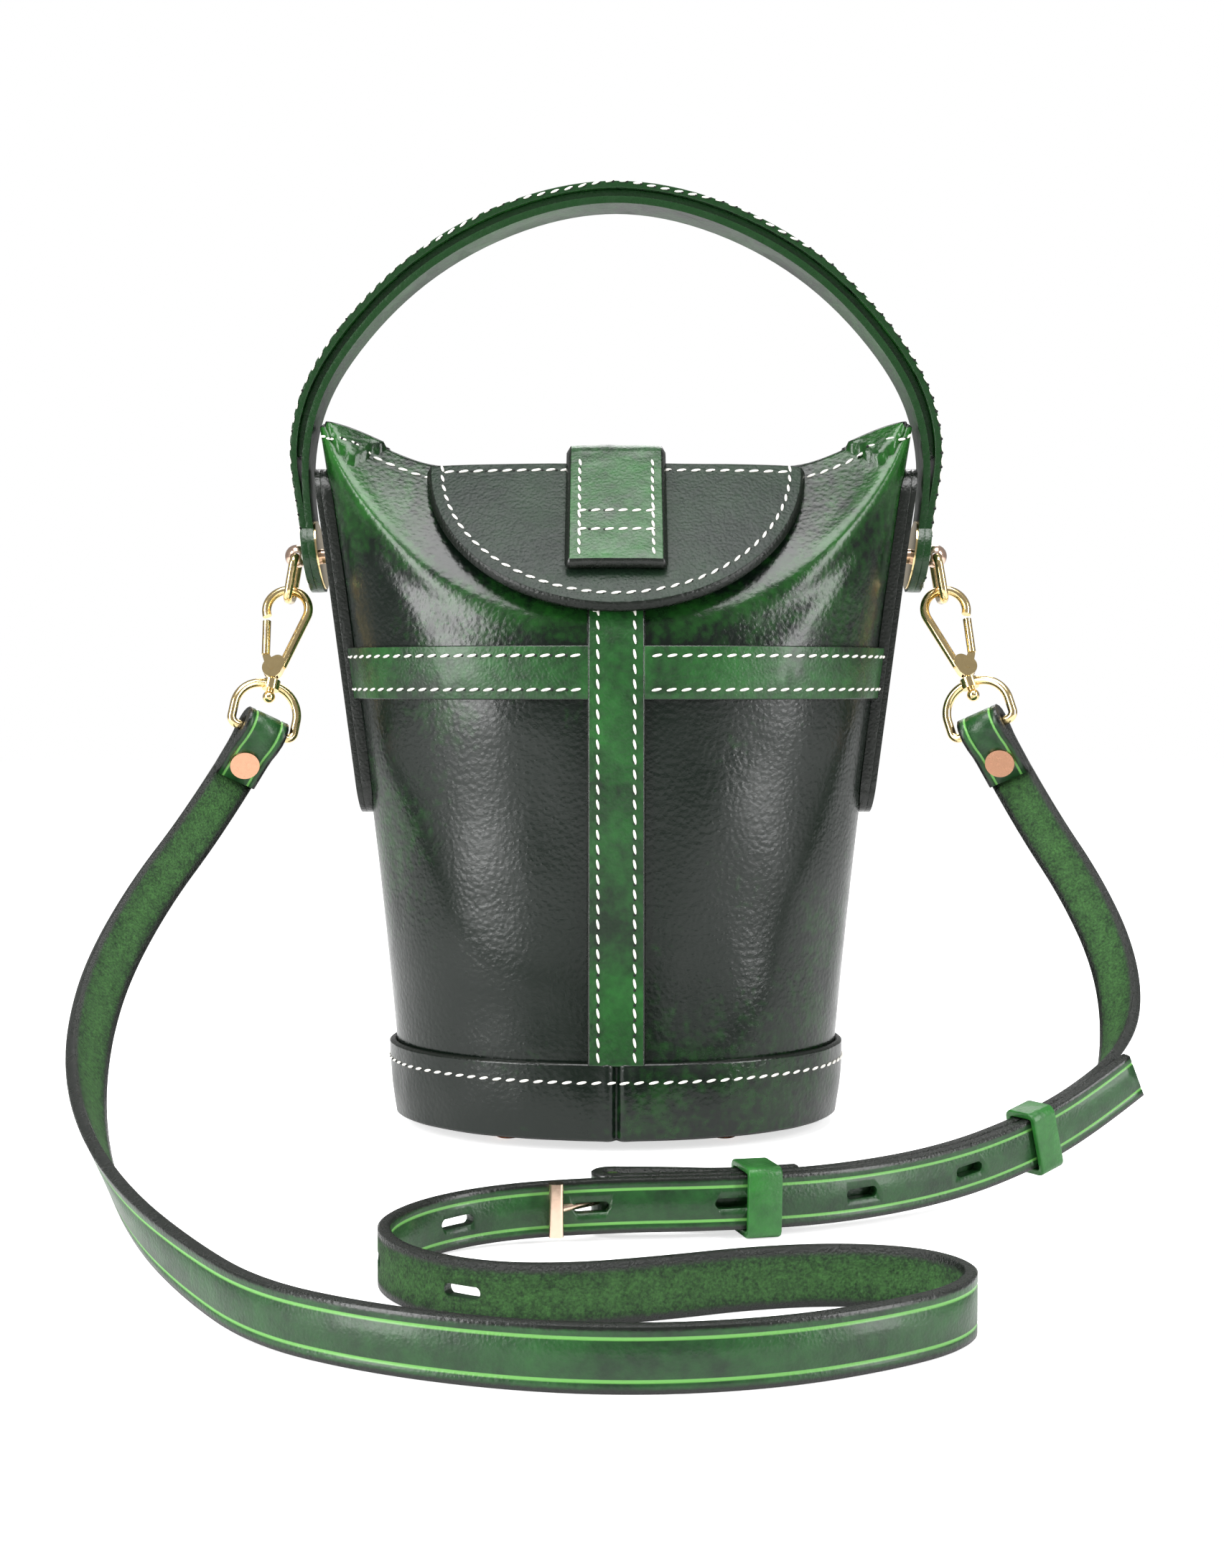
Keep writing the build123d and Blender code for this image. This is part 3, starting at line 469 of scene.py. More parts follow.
SHORT_RUN = [
    (108.751, -8.557, 96.362, -0.82, 0.38, -0.43),
    (115.0, -15.5, 83.5, -0.80, 0.34, -0.49), (122.5, -32.5, 68.5, -0.78, 0.34, -0.53),
    (127.5, -49.0, 52.5, -0.72, 0.36, -0.60), (127.6, -60.5, 37.5, -0.58, 0.38, -0.72),
    (121.5, -71.0, 25.5, -0.34, 0.26, -0.90), (112.0, -80.3, 18.2, -0.10, 0.10, -0.99),
    (97.0, -90.5, 12.6, 0, 0, -1), (75.2, -106.4, 8.6, 0, 0, -1),
    (48.9, -122.1, 7.7, 0, 0, -1), (23.4, -131.0, 8.2, 0, 0, -1),
    (-1.0, -131.3, 7.9, 0, 0, -1)]
TAIL_RUN = [(-1.0, -124.3, 7.9), (11.0, -125.4, 8.1), (25.0, -127.8, 8.2), (40.0, -121.6, 7.9)]


def smooth_line(rows):
    """The smooth line that follows the rows' points, as points in millimetres."""
    data = bpy.data.curves.new("strap line", "CURVE")
    data.dimensions = "3D"
    data.resolution_u = 12
    spline = data.splines.new("NURBS")
    spline.points.add(len(rows) - 1)
    for point, row in zip(spline.points, rows):
        point.co = (row[0] * MM, row[1] * MM, row[2] * MM, 1)
    spline.order_u = 3
    spline.use_endpoint_u = True
    holder = bpy.data.objects.new("strap line", data)
    mesh = bpy.data.meshes.new_from_object(holder)
    points = [v.co / MM for v in mesh.vertices]
    bpy.data.objects.remove(holder)
    return points


# round the strap's section: (across, through, is it the grain side)
SECTION = [(-5.75, 1.3, 1), (-4.1, 1.3, 1), (-3.9, 1.12, 1), (-3.5, 1.12, 1), (-3.3, 1.3, 1),
           (0.0, 1.3, 1), (3.3, 1.3, 1), (3.5, 1.12, 1), (3.9, 1.12, 1), (4.1, 1.3, 1),
           (5.75, 1.3, 1), (6.0, 0.9, 0), (6.0, 0.0, 0), (6.0, -0.9, 0), (5.75, -1.3, 0),
           (3.0, -1.3, 0), (0.0, -1.3, 0), (-3.0, -1.3, 0), (-5.75, -1.3, 0), (-6.0, -0.9, 0),
           (-6.0, 0.0, 0), (-6.0, 0.9, 0)]


def strap_ribbon(name, centres, widths, grain_out=1.0):
    """A flat strap along the centres. grain_out -1 turns its grain side over."""
    points, faces, slots, edge, pressed, wax_pull_and_highlight = [], [], [], [], [], []
    count = len(SECTION)
    for k, centre in enumerate(centres):
        ahead = centres[min(k + 1, len(centres) - 1)] - centres[max(k - 1, 0)]
        ahead.normalize()
        width = widths[k] - ahead * widths[k].dot(ahead)
        width.normalize()
        through = width.cross(ahead) * grain_out
        for across, up, grain in SECTION:
            points.append(centre + width * across + through * up)
            edge.append(1.0 if abs(across) > 5.6 else 0.0)
            pressed.append(1.0 if 3.4 < abs(across) < 4.0 and grain else 0.0)
            wax_pull_and_highlight.append(0.0 if grain else 0.22 - 0.6 * (across / 6) ** 2)
    for k in range(len(centres) - 1):
        for m in range(count):
            n = (m + 1) % count
            a, b = k * count, (k + 1) * count
            faces.append((a + m, a + n, b + n, b + m))
            slots.append(0 if SECTION[m][2] and SECTION[n][2] else 1)
    faces.append(tuple(range(count)))
    faces.append(tuple((len(centres) - 1) * count + m for m in reversed(range(count))))
    slots += [1, 1]
    return new_piece(name, points, faces, [STRAP_HIDE, STRAP_FLESH],
                     {"edge": edge, "pressed": pressed, "wax_pull_and_highlight": wax_pull_and_highlight}, slots)


def run_length(line):
    return sum((b - a).length for a, b in zip(line, line[1:]))


def along_line(line, distance):
    """The point and direction that far along the line."""
    for a, b in zip(line, line[1:]):
        step = (b - a).length
        if distance <= step:
            return a.lerp(b, distance / step), (b - a).normalized()
        distance -= step
    return line[-1], (line[-1] - line[-2]).normalized()


def punch_slots(strap, line, first, pitch, count):
    """The row of adjusting slots, cut through the strap from its free end."""
    cutter = bmesh.new()
    whole = run_length(line)
    for k in range(count):
        spot, ahead = along_line(line, whole - first - k * pitch)
        through = ahead.cross(Vector((0, 0, 1))).normalized()
        up = through.cross(ahead).normalized()
        outline = []
        for m in range(16):
            turn = 2 * pi * m / 16
            shift = 2.75 if cos(turn) > 0 else -2.75
            outline.append(ahead * (cos(turn) * 1.25 + shift) + up * sin(turn) * 1.25)
        low = [cutter.verts.new((spot + p - through * 3) * MM) for p in outline]
        high = [cutter.verts.new((spot + p + through * 3) * MM) for p in outline]
        cutter.faces.new(low)
        cutter.faces.new(list(reversed(high)))
        for m in range(16):
            n = (m + 1) % 16
            cutter.faces.new((low[n], low[m], high[m], high[n]))
    bmesh.ops.recalc_face_normals(cutter, faces=cutter.faces)
    mesh = bpy.data.meshes.new("slot punch")
    cutter.to_mesh(mesh)
    cutter.free()
    mesh.materials.append(STRAP_HIDE)
    punch = bpy.data.objects.new("slot punch", mesh)
    bpy.context.scene.collection.objects.link(punch)
    cut = strap.modifiers.new("slots", "BOOLEAN")
    cut.operation, cut.solver, cut.object = "DIFFERENCE", "EXACT", punch
    result = bpy.data.meshes.new_from_object(strap.evaluated_get(bpy.context.evaluated_depsgraph_get()))
    strap.modifiers.remove(cut)
    strap.data = result
    bpy.data.objects.remove(punch)


def strap_fold(name, bar, ahead, width, main_side):
    """The strap's end, taken round the loop's bar and riveted to itself."""
    ahead, width = Vector(ahead).normalized(), Vector(width).normalized()
    out = width.cross(ahead).normalized() * main_side
    width = ahead.cross(out) * (-1 if main_side > 0 else 1)
    line = [(16.3, 1.45), (12.0, 1.45), (8.0, 1.5), (5.2, 1.9), (2.4, 3.1)]
    line += [(-3.5 * sin(radians(a)), 3.5 * cos(radians(a))) for a in range(0, 181, 22)]
    line += [(-3.5 * 0.0, -3.5), (2.4, -3.1), (5.2, -1.9), (8.0, -1.5), (12.0, -1.45), (15.4, -1.45)]
    centres = [Vector(bar) + ahead * x + out * y for x, y in line]
    kept = [centres[0]]
    for point in centres[1:]:
        if (point - kept[-1]).length > 0.3:
            kept.append(point)
    return strap_ribbon(name, kept, [Vector(width)] * len(kept), main_side)


def make_strap():
    pieces = {}
    for name, rows, flip in (("long_strap", LONG_RUN, 1.0), ("short_strap", SHORT_RUN, -1.0)):
        line = smooth_line(rows)
        widths = smooth_line([(row[3] * 100, row[4] * 100, row[5] * 100) for row in rows])
        pieces[name] = (strap_ribbon(name, line, widths, flip), line)
    left = strap_fold("left_strap_end", (-96.5525, -13.3811, 108.772), (-0.53, 0.25, -0.81),
                      (0.82, 0.38, -0.43), 1)
    right = strap_fold("right_strap_end", (100.294, -13.1173, 109.485), (0.50, 0.20, -0.84),
                       (-0.82, 0.38, -0.43), -1)
    turn = [Vector((-1 - 3.5 * sin(radians(a)), -127.8 - 3.5 * cos(radians(a)), 7.9))
            for a in range(0, 180, 20)]
    tail = turn + smooth_line(TAIL_RUN)
    tail_piece = strap_ribbon("strap_tail", tail, [Vector((0, 0, -1))] * len(tail), -1.0)
    long_strap, long_line = pieces["long_strap"]
    short_strap, short_line = pieces["short_strap"]
    punch_slots(long_strap, long_line, 57.5, 31.0, 7)
    for node in ("keeper_front", "keeper_end"):
        keeper = cut_copy(node + "_loop", node, KEEPER_HIDE, 0.35)
        finished(keeper, node, node, slot="strap_leather")
    for piece in (left, right, tail_piece):
        finished(piece, "root", slot="strap_leather")
    finished(long_strap, "root", "strap_long", slot="strap_leather")
    finished(short_strap, "root", "strap_short", slot="strap_leather")
    run_length(long_line) * MM
    [tuple(p * MM) for p in long_line]
    run_length(short_line) * MM
    [tuple(p * MM) for p in short_line]


make_strap()


# ---- the bag's shell ------------------------------------------------------------------
def half_wide(z):
    u = z - 24
    return 61.2 + 0.09 * u + 0.00019 * u * u


def half_deep(z):
    return 45.4 + 0.02 * (z - 24)


def shell_point(t, z, grow=0.0):
    """A point of the shell's outside: an oval low down, pinched to the mouth higher up."""
    x = (half_wide(z) + grow) * cos(t)
    oval = abs((half_deep(z) + grow) * sin(t))
    pinch = max(9 + 0.9 * (181 - z) + 10 * (x / 80) ** 6 + 1.35 * grow, 3)
    depth = oval * (1 + (oval / pinch) ** 8) ** -0.125
    return Vector((x, depth if sin(t) > 0 else -depth, z))


def shell_frame(t, z, grow=0.0):
    point = shell_point(t, z, grow)
    a = shell_point(t + 0.004, z, grow) - shell_point(t - 0.004, z, grow)
    b = shell_point(t, z + 0.3, grow) - shell_point(t, z - 0.3, grow)
    out = a.cross(b).normalized()
    if out.dot(Vector((point.x * 0.5, point.y, 0))) < 0:
        out = -out
    return point, out


def lip_height(x):
    """Flat over the mouth, then a smooth rise to each ear."""
    s = min(max((abs(x) - 47) / 34, 0.0), 1.0)
    return 181 + 11 * s * s * (3 - 2 * s)


def fold_line(x):
    """Height of the soft U-shaped fold that runs from ear to ear."""
    return 136 + 54 * (abs(x) / 80) ** 2.6


def shell_panel(name, side, nodes):
    """Front or back panel, with the soft folds of waxed leather."""
    low = BAND_TOP - 15

    def place(t, v):
        top_x = half_wide(187) * cos(t)
        top = lip_height(top_x)
        z = low + (top - low) * v
        point, out = shell_frame(t, z)
        near = (z - fold_line(point.x)) / 4.0
        ridge = 0.9 * 2.718 ** (-near * near) - 0.7 * 2.718 ** (-((near + 2.0) ** 2))
        calm = min(1.0, abs(z - 124.5) / 20) * min(1.0, max(abs(point.x) - 7, 0) / 12)
        calm *= min(1.0, (1 - v) * 8) * min(1.0, max(z - 26, 0) / 12)
        calm *= min(1.0, max(half_wide(z) - abs(point.x), 0) / 6)
        wave = noise.noise(Vector((point.x / 26, side * 7, z / 34))) * 1.1
        return point + out * (ridge + wave - 0.4) * calm, out

    # Lighter along the U-shaped fold, just below the flap's lower edge and up the ears: painted highlight
    # where it follows the fold and the flap's edge, partly also wax pulled pale at the fold; the ears
    # lighter towards their tops.
    def wax_pull_and_highlight(t, v):
        top = lip_height(half_wide(187) * cos(t))
        z = low + (top - low) * v
        x = half_wide(z) * cos(t)
        near = (z - fold_line(x)) / 5.0
        corner = max(0.0, (abs(x) - 42) / 40) * max(0.0, (z - 140) / 45)
        fold = 0.45 * 2.718 ** (-near * near) * min(max((z - 128) / 30, 0.0), 1.0)
        # painted highlight in a band just below the flap's lower edge
        painted_highlight_under_flap = 0.35 * 2.718 ** (-((z - 140) / 9) ** 2) * 2.718 ** (-(x / 55) ** 2)
        return fold + painted_highlight_under_flap + 0.65 * min(corner, 1)

    span = steps(pi + 0.006, 2 * pi - 0.006, 110) if side < 0 else steps(0.006, pi - 0.006, 110)
    span = [span[0], span[0] + 0.01] + span[1:-1] + [span[-1] - 0.01, span[-1]]
    rise = steps(0, 1, 84, 0.004)
    panel = sheet_piece(name, place, span, rise, LEATHER, BODY_HIDE, wax_pull_and_highlight=wax_pull_and_highlight, edges=(0, 0, 0, 1))
    return finished(panel, "root", *nodes, slot="dark_leather")


front_panel = shell_panel("front_panel", -1, ["body_front_panel"])
back_panel = shell_panel("back_panel", 1, ["body_back_panel"])


def centre_strap(name, side, node, low, high):
    """The upright strap down the middle of the front or back."""
    def place(x, z):
        t = 1.5 * pi if side < 0 else 0.5 * pi
        t = t + (x if side < 0 else -x) / half_wide(z)
        point, out = shell_frame(t, z)
        band = max(0.0, min(1.0, (BAND_TOP + 2.5 - z) / 4.0)) * 0.5
        soft = noise.noise(Vector((point.x / 5, side * 3, z / 8))) * 0.14
        return point + out * (1.8 + soft + band), out

    piece = sheet_piece(name, place, steps(-7, 7, 8, 0.35), steps(low, high, 60, 0.35), 1.8,
                        TRIM_HIDE, edges=(1, 1, 0, 1))
    return finished(piece, "root", node, slot="green_leather")


front_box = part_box("centre_strap_front")
back_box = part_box("centre_strap_back")
front_strap = centre_strap("front_centre_strap", -1, "centre_strap_front",
                           front_box[0][2] / MM, front_box[1][2] / MM)
back_strap = centre_strap("back_centre_strap", 1, "centre_strap_back",
                          back_box[0][2] / MM, back_box[1][2] / MM)


def base_band():
    """The band round the foot, butted and sewn at the middle of the front."""
    def place(t, z):
        point, out = shell_frame(t, z)
        seam = abs(((t - 1.5 * pi + pi) % (2 * pi)) - pi) * half_wide(z)
        pucker = 1.3 * 2.718 ** (-(seam / 0.8) ** 2) - 0.5 * 2.718 ** (-((seam - 2.4) / 1.3) ** 2)
        belly = 0.5 * sin(pi * (z - 3.5) / 19.5)
        soft = noise.noise(Vector((point.x / 8, point.y / 8, z / 12))) * 0.25
        return point + out * (2.0 + belly + soft - pucker), out

    turns = sorted([2 * pi * k / 200 for k in range(200)]
                   + [1.5 * pi + d / 62 for d in (-3.2, -2.2, -1.2, -0.8, -0.4, 0.4, 0.8, 1.2, 2.2, 3.2)])
    band = sheet_piece("base_band_hide", place, turns, steps(3.6, BAND_TOP, 14, 0.35), 2.0, BODY_HIDE,
                       wrap=True, edges=(0, 0, 1, 1))
    return finished(band, "root", "base_band", slot="dark_leather")


band = base_band()

belts = []
for node in ("belt_front_left", "belt_front_right", "belt_back_left", "belt_back_right"):
    belt = cut_copy(node + "_hide", node, TRIM_HIDE, 0.4)
    mark_edges(belt, lambda centre, normal: abs(normal.z) > 0.7)
    belts.append(finished(belt, "root", node, slot="dark_leather"))
strips = []
for node in ("left_strip_inner", "left_strip_outer", "right_strip_inner", "right_strip_outer"):
    strip = cut_copy(node + "_hide", node, TRIM_HIDE, 0.35)
    mark_edges(strip, lambda centre, normal: abs(normal.x) < 0.6)
    strips.append(finished(strip, "root", node, slot="dark_leather"))
bottom = cut_copy("base_hide", "base_panel", BODY_HIDE, 0.4)
finished(bottom, "root", "base_panel", slot="dark_leather")


# ---- flap and closing tab ---------------------------------------------------------------
def on_slope(along, off, x=0.0):
    return LIP + SLOPE_RUN * along + SLOPE_OUT * off + Vector((x, 0, 0))


def make_flap():
    def place(turn, r):
        x, down = 50 * r * cos(turn), 51 * r * sin(turn)
        dome = 0.7 * (1 - r * r) - 0.5 * r ** 8
        soft = noise.noise(Vector((x / 14, down / 14, 0))) * 0.25 * (1 - r)
        return on_slope(4.5 + down, 4.4 + dome + soft, x), SLOPE_OUT

    turns = steps(0, pi, 72, 0.012)
    reach = [0.0, 0.12, 0.24, 0.36, 0.48, 0.6, 0.7, 0.8, 0.88, 0.93, 0.965, 0.985, 0.993, 1.0]
    flap = sheet_piece("flap_hide", place, turns, reach, 3.5, FLAP_HIDE, edges=(1, 1, 0, 1))
    return finished(flap, "flap", "flap_outer", "flap_lining", slot="flap_leather")


TAB_OFF = 6.5
TAB_DOWN = (44.3, 40.0, 34.0, 27.0, 20.0, 13.0, 8.0, 5.0)


def make_tab():
    line = [on_slope(a, TAB_OFF) for a in TAB_DOWN]
    line += [Vector((0, -15.9, 183.2)), Vector((0, -14.2, 184.1)), Vector((0, -12.0, 184.2)),
             Vector((0, -9.0, 184.2)), Vector((0, -6.0, 184.1)), Vector((0, -3.0, 184.1)),
             Vector((0, 0, 184.1)), Vector((0, 2.0, 184.1)), Vector((0, 3.5, 184.1)),
             Vector((0, 5.0, 184.1)), Vector((0, 6.5, 184.1)), Vector((0, 8.4, 184.0)),
             Vector((0, 10.2, 183.3))]
    line += [Vector((0, 9 + 0.66896 * a + 1.75, 181 - 0.7433 * a + 1.57)) for a in (2, 6, 12, 18, 25, 32)]
    ways = []
    for k, point in enumerate(line):
        ahead = line[min(k + 1, len(line) - 1)] - line[max(k - 1, 0)]
        out = Vector((1, 0, 0)).cross(ahead).normalized()
        ways.append(out)

    def place(x, k):
        base = int(min(k, len(line) - 2))
        share = k - base
        point = line[base].lerp(line[base + 1], share)
        out = ways[base].lerp(ways[base + 1], share).normalized()
        soft = noise.noise(Vector((x / 5, k, 2))) * 0.15
        crown = 0.25 * (1 - (x / 12.25) ** 4)
        return Vector((x, point.y, point.z)) + out * (1.8 + crown + soft), out

    last = len(line) - 1
    rows = [0, 0.08] + [k / 2 for k in range(1, 2 * last)] + [last - 0.05, last]
    tab = sheet_piece("closing_tab", place, steps(-12.25, 12.25, 12, 0.4), rows, 3.7, TRIM_HIDE,
                      wax_pull_and_highlight=lambda x, k: 0.05)
    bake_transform(tab)
    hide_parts("tab_outer", "tab_lining", "tab_back")
    return tab, line


flap = make_flap()
tab, tab_line = make_tab()

# ---- handle -------------------------------------------------------------------------------
handle_parts = []
for node in ("handle_outer", "handle_core", "handle_inner"):
    part = cut_copy(node + "_hide", node, HANDLE_HIDE, 0.7)
    mark_edges(part, lambda centre, normal: abs(normal.y) > 0.7)
    handle_parts.append(finished(part, "handle", node, slot="dark_leather"))


# ---- stitches -------------------------------------------------------------------------------
def stitch_tree(name, material, pitch, length, radius):
    """Thread laid along each line, one stitch to a pitch, turned to lie on its leather."""
    tree = bpy.data.node_groups.new(name, "GeometryNodeTree")
    face = tree.interface
    face.new_socket("Geometry", in_out="INPUT", socket_type="NodeSocketGeometry")
    values = {}
    for label, value in (("Pitch", pitch), ("Stitch Length", length), ("Thread Radius", radius),
                         ("Slant", 0.2)):
        socket = face.new_socket(label, in_out="INPUT", socket_type="NodeSocketFloat")
        socket.default_value = value
        values[label] = socket.identifier
    face.new_socket("Geometry", in_out="OUTPUT", socket_type="NodeSocketGeometry")
    start, end = tree.nodes.new("NodeGroupInput"), tree.nodes.new("NodeGroupOutput")
    link = tree.links.new
    to_curve = add(tree, "GeometryNodeMeshToCurve")
    resample = add(tree, "GeometryNodeResampleCurve", mode="LENGTH")
    link(start.outputs["Geometry"], to_curve.inputs[0])
    link(to_curve.outputs[0], resample.inputs["Curve"])
    link(start.outputs["Pitch"], resample.inputs["Length"])
    ball = add(tree, "GeometryNodeMeshUVSphere")
    ball.inputs["Segments"].default_value = 8
    ball.inputs["Rings"].default_value = 6
    ball.inputs["Radius"].default_value = 1.0
    size = add(tree, "ShaderNodeCombineXYZ")
    link(start.outputs["Stitch Length"], size.inputs[2])
    link(start.outputs["Thread Radius"], size.inputs[0])
    link(start.outputs["Thread Radius"], size.inputs[1])
    shape = add(tree, "GeometryNodeTransform")
    link(ball.outputs["Mesh"], shape.inputs["Geometry"])
    link(size.outputs[0], shape.inputs["Scale"])
    tangent = add(tree, "GeometryNodeInputTangent")
    up = add(tree, "GeometryNodeInputNamedAttribute", data_type="FLOAT_VECTOR")
    up.inputs["Name"].default_value = "up"
    turn = add(tree, "FunctionNodeAxesToRotation", primary_axis="Z", secondary_axis="X")
    side = add(tree, "ShaderNodeVectorMath", operation="CROSS_PRODUCT")
    link(up.outputs["Attribute"], side.inputs[0])
    link(tangent.outputs[0], side.inputs[1])
    lean = add(tree, "ShaderNodeVectorMath", operation="SCALE")
    link(side.outputs[0], lean.inputs[0])
    link(start.outputs["Slant"], lean.inputs["Scale"])
    slanted = add(tree, "ShaderNodeVectorMath", operation="ADD")
    link(tangent.outputs[0], slanted.inputs[0])
    link(lean.outputs[0], slanted.inputs[1])
    link(slanted.outputs[0], turn.inputs[0])
    link(up.outputs["Attribute"], turn.inputs[1])
    spread = add(tree, "GeometryNodeInstanceOnPoints")
    link(resample.outputs[0], spread.inputs["Points"])
    link(shape.outputs[0], spread.inputs["Instance"])
    link(turn.outputs[0], spread.inputs["Rotation"])
    whole = add(tree, "GeometryNodeRealizeInstances")
    link(spread.outputs[0], whole.inputs[0])
    paint = add(tree, "GeometryNodeSetMaterial")
    paint.inputs["Material"].default_value = material
    smooth = add(tree, "GeometryNodeSetShadeSmooth")
    link(whole.outputs[0], smooth.inputs[0])
    link(smooth.outputs[0], paint.inputs["Geometry"])
    link(paint.outputs[0], end.inputs[0])
    return tree, values


THREAD_TREE = stitch_tree("saddle stitch", THREAD, 0.0038, 0.00145, 0.0004)
# dark discs half a pitch from the thread: painted shade in the awl holes
HOLE_SHADE_TREE = stitch_tree("awl hole painted shade", AWL_HOLE_SHADE, 0.0038, 0.0005, 0.00042)


def surface_of(*pieces):
    """A tree that finds the nearest leather to a point."""
    points, faces = [], []
    for piece in pieces:
        base = len(points)
        points += [v.co.copy() for v in piece.data.vertices]
        for face in piece.data.polygons:
            ring = list(face.vertices)
            first = ring.index(min(ring))
            faces.append([base + i for i in ring[first:] + ring[:first]])
    return BVHTree.FromPolygons(points, faces)


def lie_on(surface, line, lift=0.12):
    """Each point of the line (mm) put on the leather, with the leather's normal there."""
    rows = []
    for point in line:
        spot, normal, _, _ = surface.find_nearest(Vector(point) * MM)
        rows.append((spot + normal * lift * MM, normal))
    return rows


def sew(name, rows, body, pitch=3.8, length=1.35, radius=0.38):
    """Thread, and dark discs of painted shade at the awl holes, along every row, as two plain meshes on
    one body.
    """
    for label, (tree, ids), shift, size in ((name, THREAD_TREE, 0.0, (length, radius)),
                                            (name + "_hole_shade", HOLE_SHADE_TREE, 0.5, (0.42, 0.42))):
        points, ups, edges = [], [], []
        for row in rows:
            base, gone = len(points), 0.0
            for k, (point, normal) in enumerate(row):
                if k:
                    gone += (point - row[k - 1][0]).length
                if gone < shift * pitch * MM:
                    continue
                if len(points) > base:
                    edges.append((len(points) - 1, len(points)))
                sink = 0.22 * MM if shift else 0.0
                points.append(point - normal * sink)
                ups.append(normal)
        mesh = bpy.data.meshes.new(label)
        mesh.from_pydata(points, edges, [])
        layer = mesh.attributes.new("up", "FLOAT_VECTOR", "POINT")
        layer.data.foreach_set("vector", [c for n in ups for c in n])
        holder = bpy.data.objects.new(label, mesh)
        bpy.context.scene.collection.objects.link(holder)
        rule = holder.modifiers.new("stitches", "NODES")
        rule.node_group = tree
        rule[ids["Pitch"]] = pitch * MM
        rule[ids["Stitch Length"]] = size[0] * MM
        rule[ids["Thread Radius"]] = size[1] * MM
        depsgraph = bpy.context.evaluated_depsgraph_get()
        result = bpy.data.meshes.new_from_object(holder.evaluated_get(depsgraph))
        holder.modifiers.remove(rule)
        holder.data = result
        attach(holder, body)


def angle_row(z, side, t0, t1, grow=2.2):
    sign = 1 if side > 0 else -1
    return [shell_point(sign * (t0 + (t1 - t0) * k / 120), z, grow) for k in range(121)]


def lip_row(side, down):
    rows = []
    for k in range(161):
        t = pi * (0.062 + 0.876 * k / 160)
        t = t if side > 0 else -t
        z = lip_height(half_wide(187) * cos(t)) - down
        rows.append(shell_point(t, z, 1.2))
    return rows


bag_rows = []
for side, panel, strap in ((-1, front_panel, front_strap), (1, back_panel, back_strap)):
    side_belts = surface_of(*(belts[:2] if side < 0 else belts[2:]))
    for z in (BELT_LOW + 2.6, BELT_HIGH - 2.6):
        for t0, t1 in ((0.16, 1.43), (pi - 1.43, pi - 0.16)):
            bag_rows.append(lie_on(side_belts, angle_row(z, side, t0, t1)))
    strap_skin = surface_of(strap)
    middle = 1.5 * pi if side < 0 else 0.5 * pi
    for x in (-4.6, 4.6):
        upright = []
        for k in range(121):
            z = 25 + 115.5 * k / 120
            upright.append(shell_point(middle + x / half_wide(z), z, 2.4))
        bag_rows.append(lie_on(strap_skin, upright))
    bag_rows.append(lie_on(strap_skin, [shell_point(middle + x / 4 / 68, 140.8, 2.4)
                                        for x in range(-17, 18)]))
    bag_rows.append(lie_on(surface_of(panel), lip_row(side, 3.0)))
bag_rows.append(lie_on(surface_of(band), [shell_point(2 * pi * k / 300, 18.5, 2.4) for k in range(300)]))
sew("bag_stitches", bag_rows, "root")

flap_skin = surface_of(flap)
rim = [on_slope(4.5 + 48 * sin(pi * (k / 120)), 6.0, 47 * cos(pi * (k / 120))) for k in range(1, 120)]
top = [on_slope(7.2, 6.0, -45 + 90 * k / 120) for k in range(121)]
sew("flap_stitches", [lie_on(flap_skin, rim), lie_on(flap_skin, top)], "flap")

tab_skin = surface_of(tab)
tab_rows = []
for x in (-9.7, 9.7):
    tab_rows.append(lie_on(tab_skin, [on_slope(a / 2, 10.0, x) for a in range(16, 84)]))
for a in (26.5, 33.5):
    tab_rows.append(lie_on(tab_skin, [on_slope(a, 10.0, x / 2) for x in range(-18, 19)]))
sew("tab_stitches", tab_rows, "flap", pitch=3.2, length=1.25)
back_rows = []
for x in (-9.7, 9.7):
    back_rows.append(lie_on(tab_skin, [Vector((x, 14.5 + 0.66896 * a, 185.5 - 0.7433 * a))
                                       for a in range(3, 30)]))
sew("back_tab_stitches", back_rows, "root", pitch=3.2, length=1.25)

SEAM = [(82.45, 147), (83.9, 157), (85.6, 170), (86, 183), (82.3, 200), (72.3, 216.5),
        (55.4, 233.6), (30, 248.2), (0, 254.4)]
handle_skin = surface_of(handle_parts[0])
seam = SEAM + [(-x, z) for x, z in reversed(SEAM[:-1])]
handle_rows = []
for y in (-7.4, 7.4):
    line = []
    for (x0, z0), (x1, z1) in zip(seam, seam[1:]):
        for k in range(12):
            s = k / 12
            x, z = x0 + (x1 - x0) * s, z0 + (z1 - z0) * s
            away = Vector((x, 0, max(z - 170, 0) * 1.4)).normalized()
            line.append(Vector((x, y, z)) + away * 4.6)
    handle_rows.append(lie_on(handle_skin, line))
sew("handle_stitches", handle_rows, "handle", length=1.25, radius=0.33)

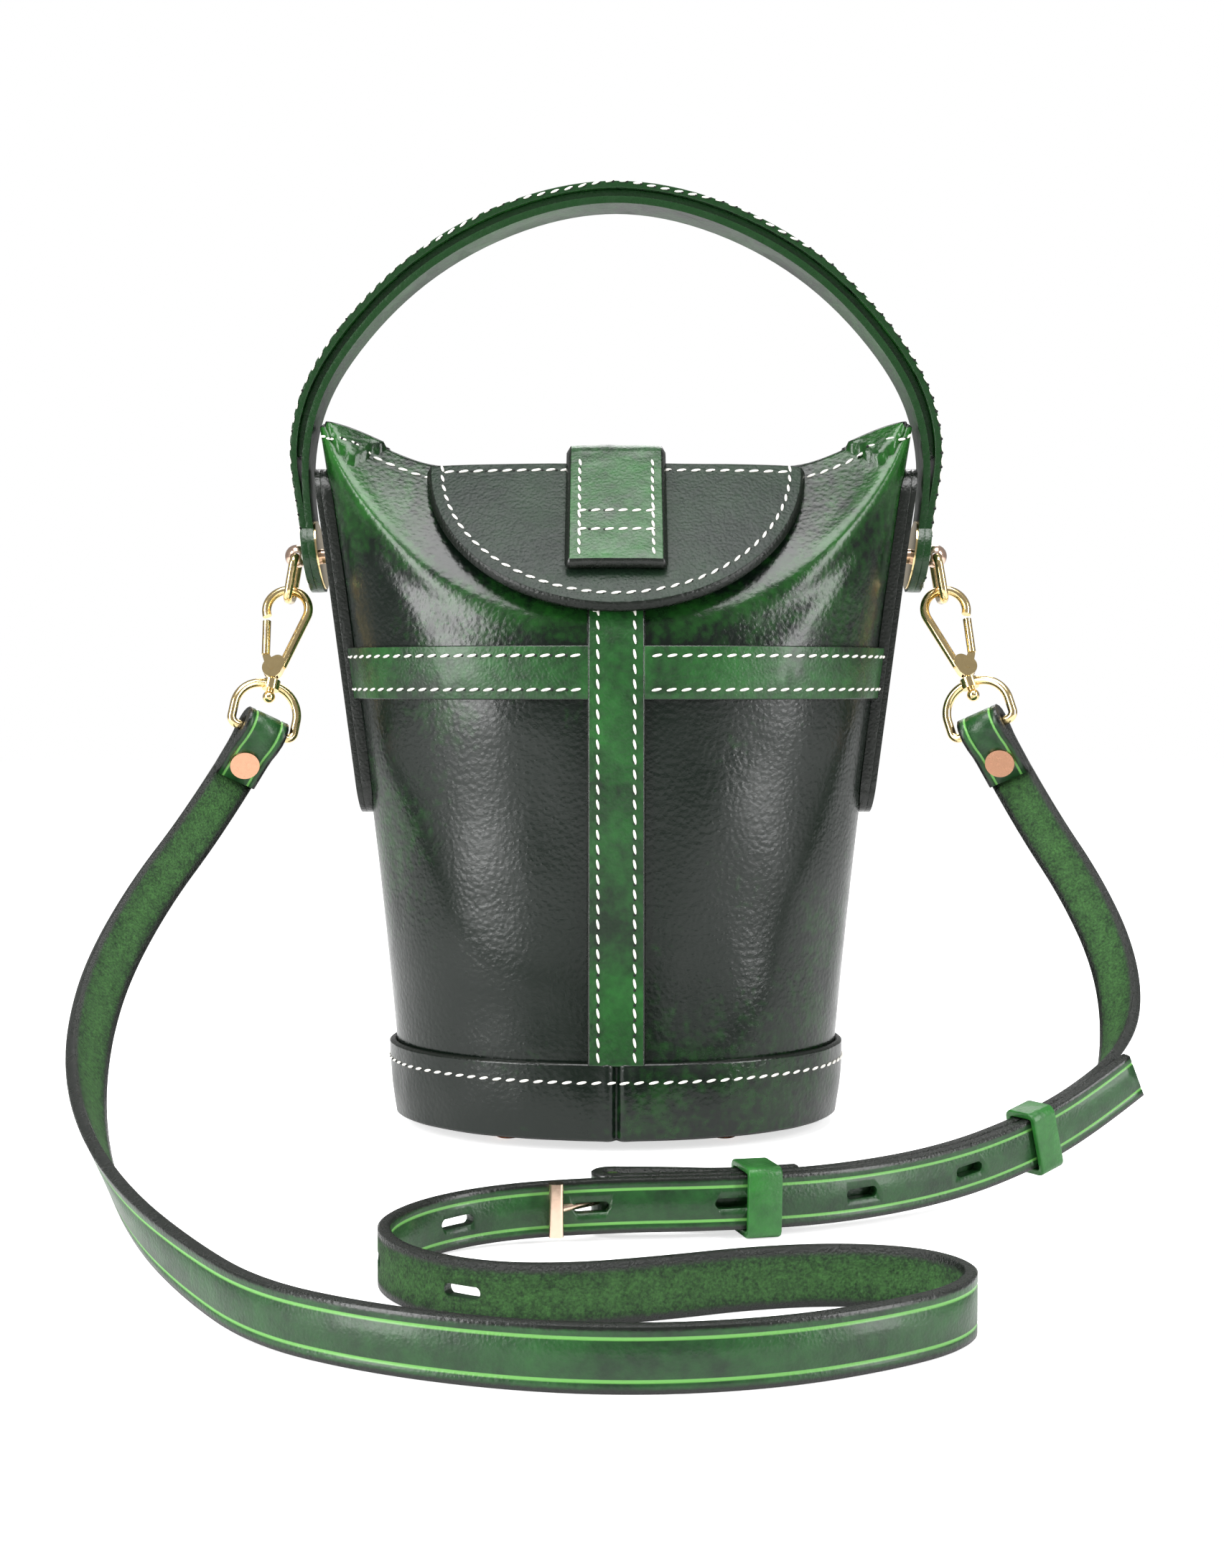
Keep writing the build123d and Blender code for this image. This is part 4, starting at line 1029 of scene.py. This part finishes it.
# ---- hardware and board -------------------------------------------------------------------
FINISHES = {GOLD: ("left_ring", "right_ring", "left_hook", "right_hook", "left_gate", "right_gate",
                   "left_gate_pin", "right_gate_pin", "left_strap_loop", "right_strap_loop",
                   "snap_cap", "snap_socket", "handle_discs"),
            ROSE: ("left_stud", "right_stud", "left_stud_base", "right_stud_base", "tab_stud",
                   "toggle"),
            COPPER: ("feet", "foot_screws", "left_strap_rivet", "right_strap_rivet"),
            BOARD: ("base_board",)}
for material, names in FINISHES.items():
    for name in names:
        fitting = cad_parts[name]
        if not fitting.material_slots:
            fitting.data.materials.append(material)
        for place in fitting.material_slots:
            place.material = material

# ---- floor and light ----------------------------------------------------------------------
floor_mesh = bpy.data.meshes.new("floor")
floor_mesh.from_pydata([(-3, -3, 0), (3, -3, 0), (3, 3, 0), (-3, 3, 0)], [], [(0, 1, 2, 3)])
floor = bpy.data.objects.new("floor", floor_mesh)
bpy.context.scene.collection.objects.link(floor)
floor_paint, floor_tree, floor_shader = new_material("floor paint")
floor_shader.inputs["Base Color"].default_value = (0.9, 0.9, 0.9, 1)
floor_shader.inputs["Roughness"].default_value = 0.8
floor_shader.inputs["Emission Color"].default_value = (1, 1, 1, 1)
lit = add(floor_tree, "ShaderNodeLightPath").outputs["Is Camera Ray"]
floor_tree.links.new(maths(floor_tree, "MULTIPLY", lit, 0.66), floor_shader.inputs["Emission Strength"])
floor_mesh.materials.append(floor_paint)

world = bpy.data.worlds.new("studio")
bpy.context.scene.world = world
world.use_nodes = True
sky = world.node_tree
glow = sky.nodes["Background"]
glow.inputs["Color"].default_value = (1, 1, 1, 1)
seen = add(sky, "ShaderNodeLightPath").outputs["Is Camera Ray"]
sky.links.new(maths(sky, "ADD", maths(sky, "MULTIPLY", seen, 0.66), 0.34), glow.inputs["Strength"])


def softbox(name, place, aim, wide, tall, power):
    lamp = bpy.data.lights.new(name, "AREA")
    lamp.shape, lamp.size, lamp.size_y, lamp.energy = "RECTANGLE", wide, tall, power
    holder = bpy.data.objects.new(name, lamp)
    holder.location = place
    holder.rotation_euler = (Vector(aim) - Vector(place)).to_track_quat("-Z", "Y").to_euler()
    bpy.context.scene.collection.objects.link(holder)


softbox("left window", (-0.85, -0.70, 0.45), (0, 0, 0.12), 0.35, 1.0, 16)
softbox("right window", (0.95, -0.62, 0.45), (0, 0, 0.12), 0.22, 1.0, 11)
softbox("top light", (0.0, -0.35, 1.2), (0, -0.05, 0.1), 0.9, 0.6, 16)
softbox("back light", (0.1, 0.9, 0.9), (0, 0, 0.15), 0.6, 0.6, 5)
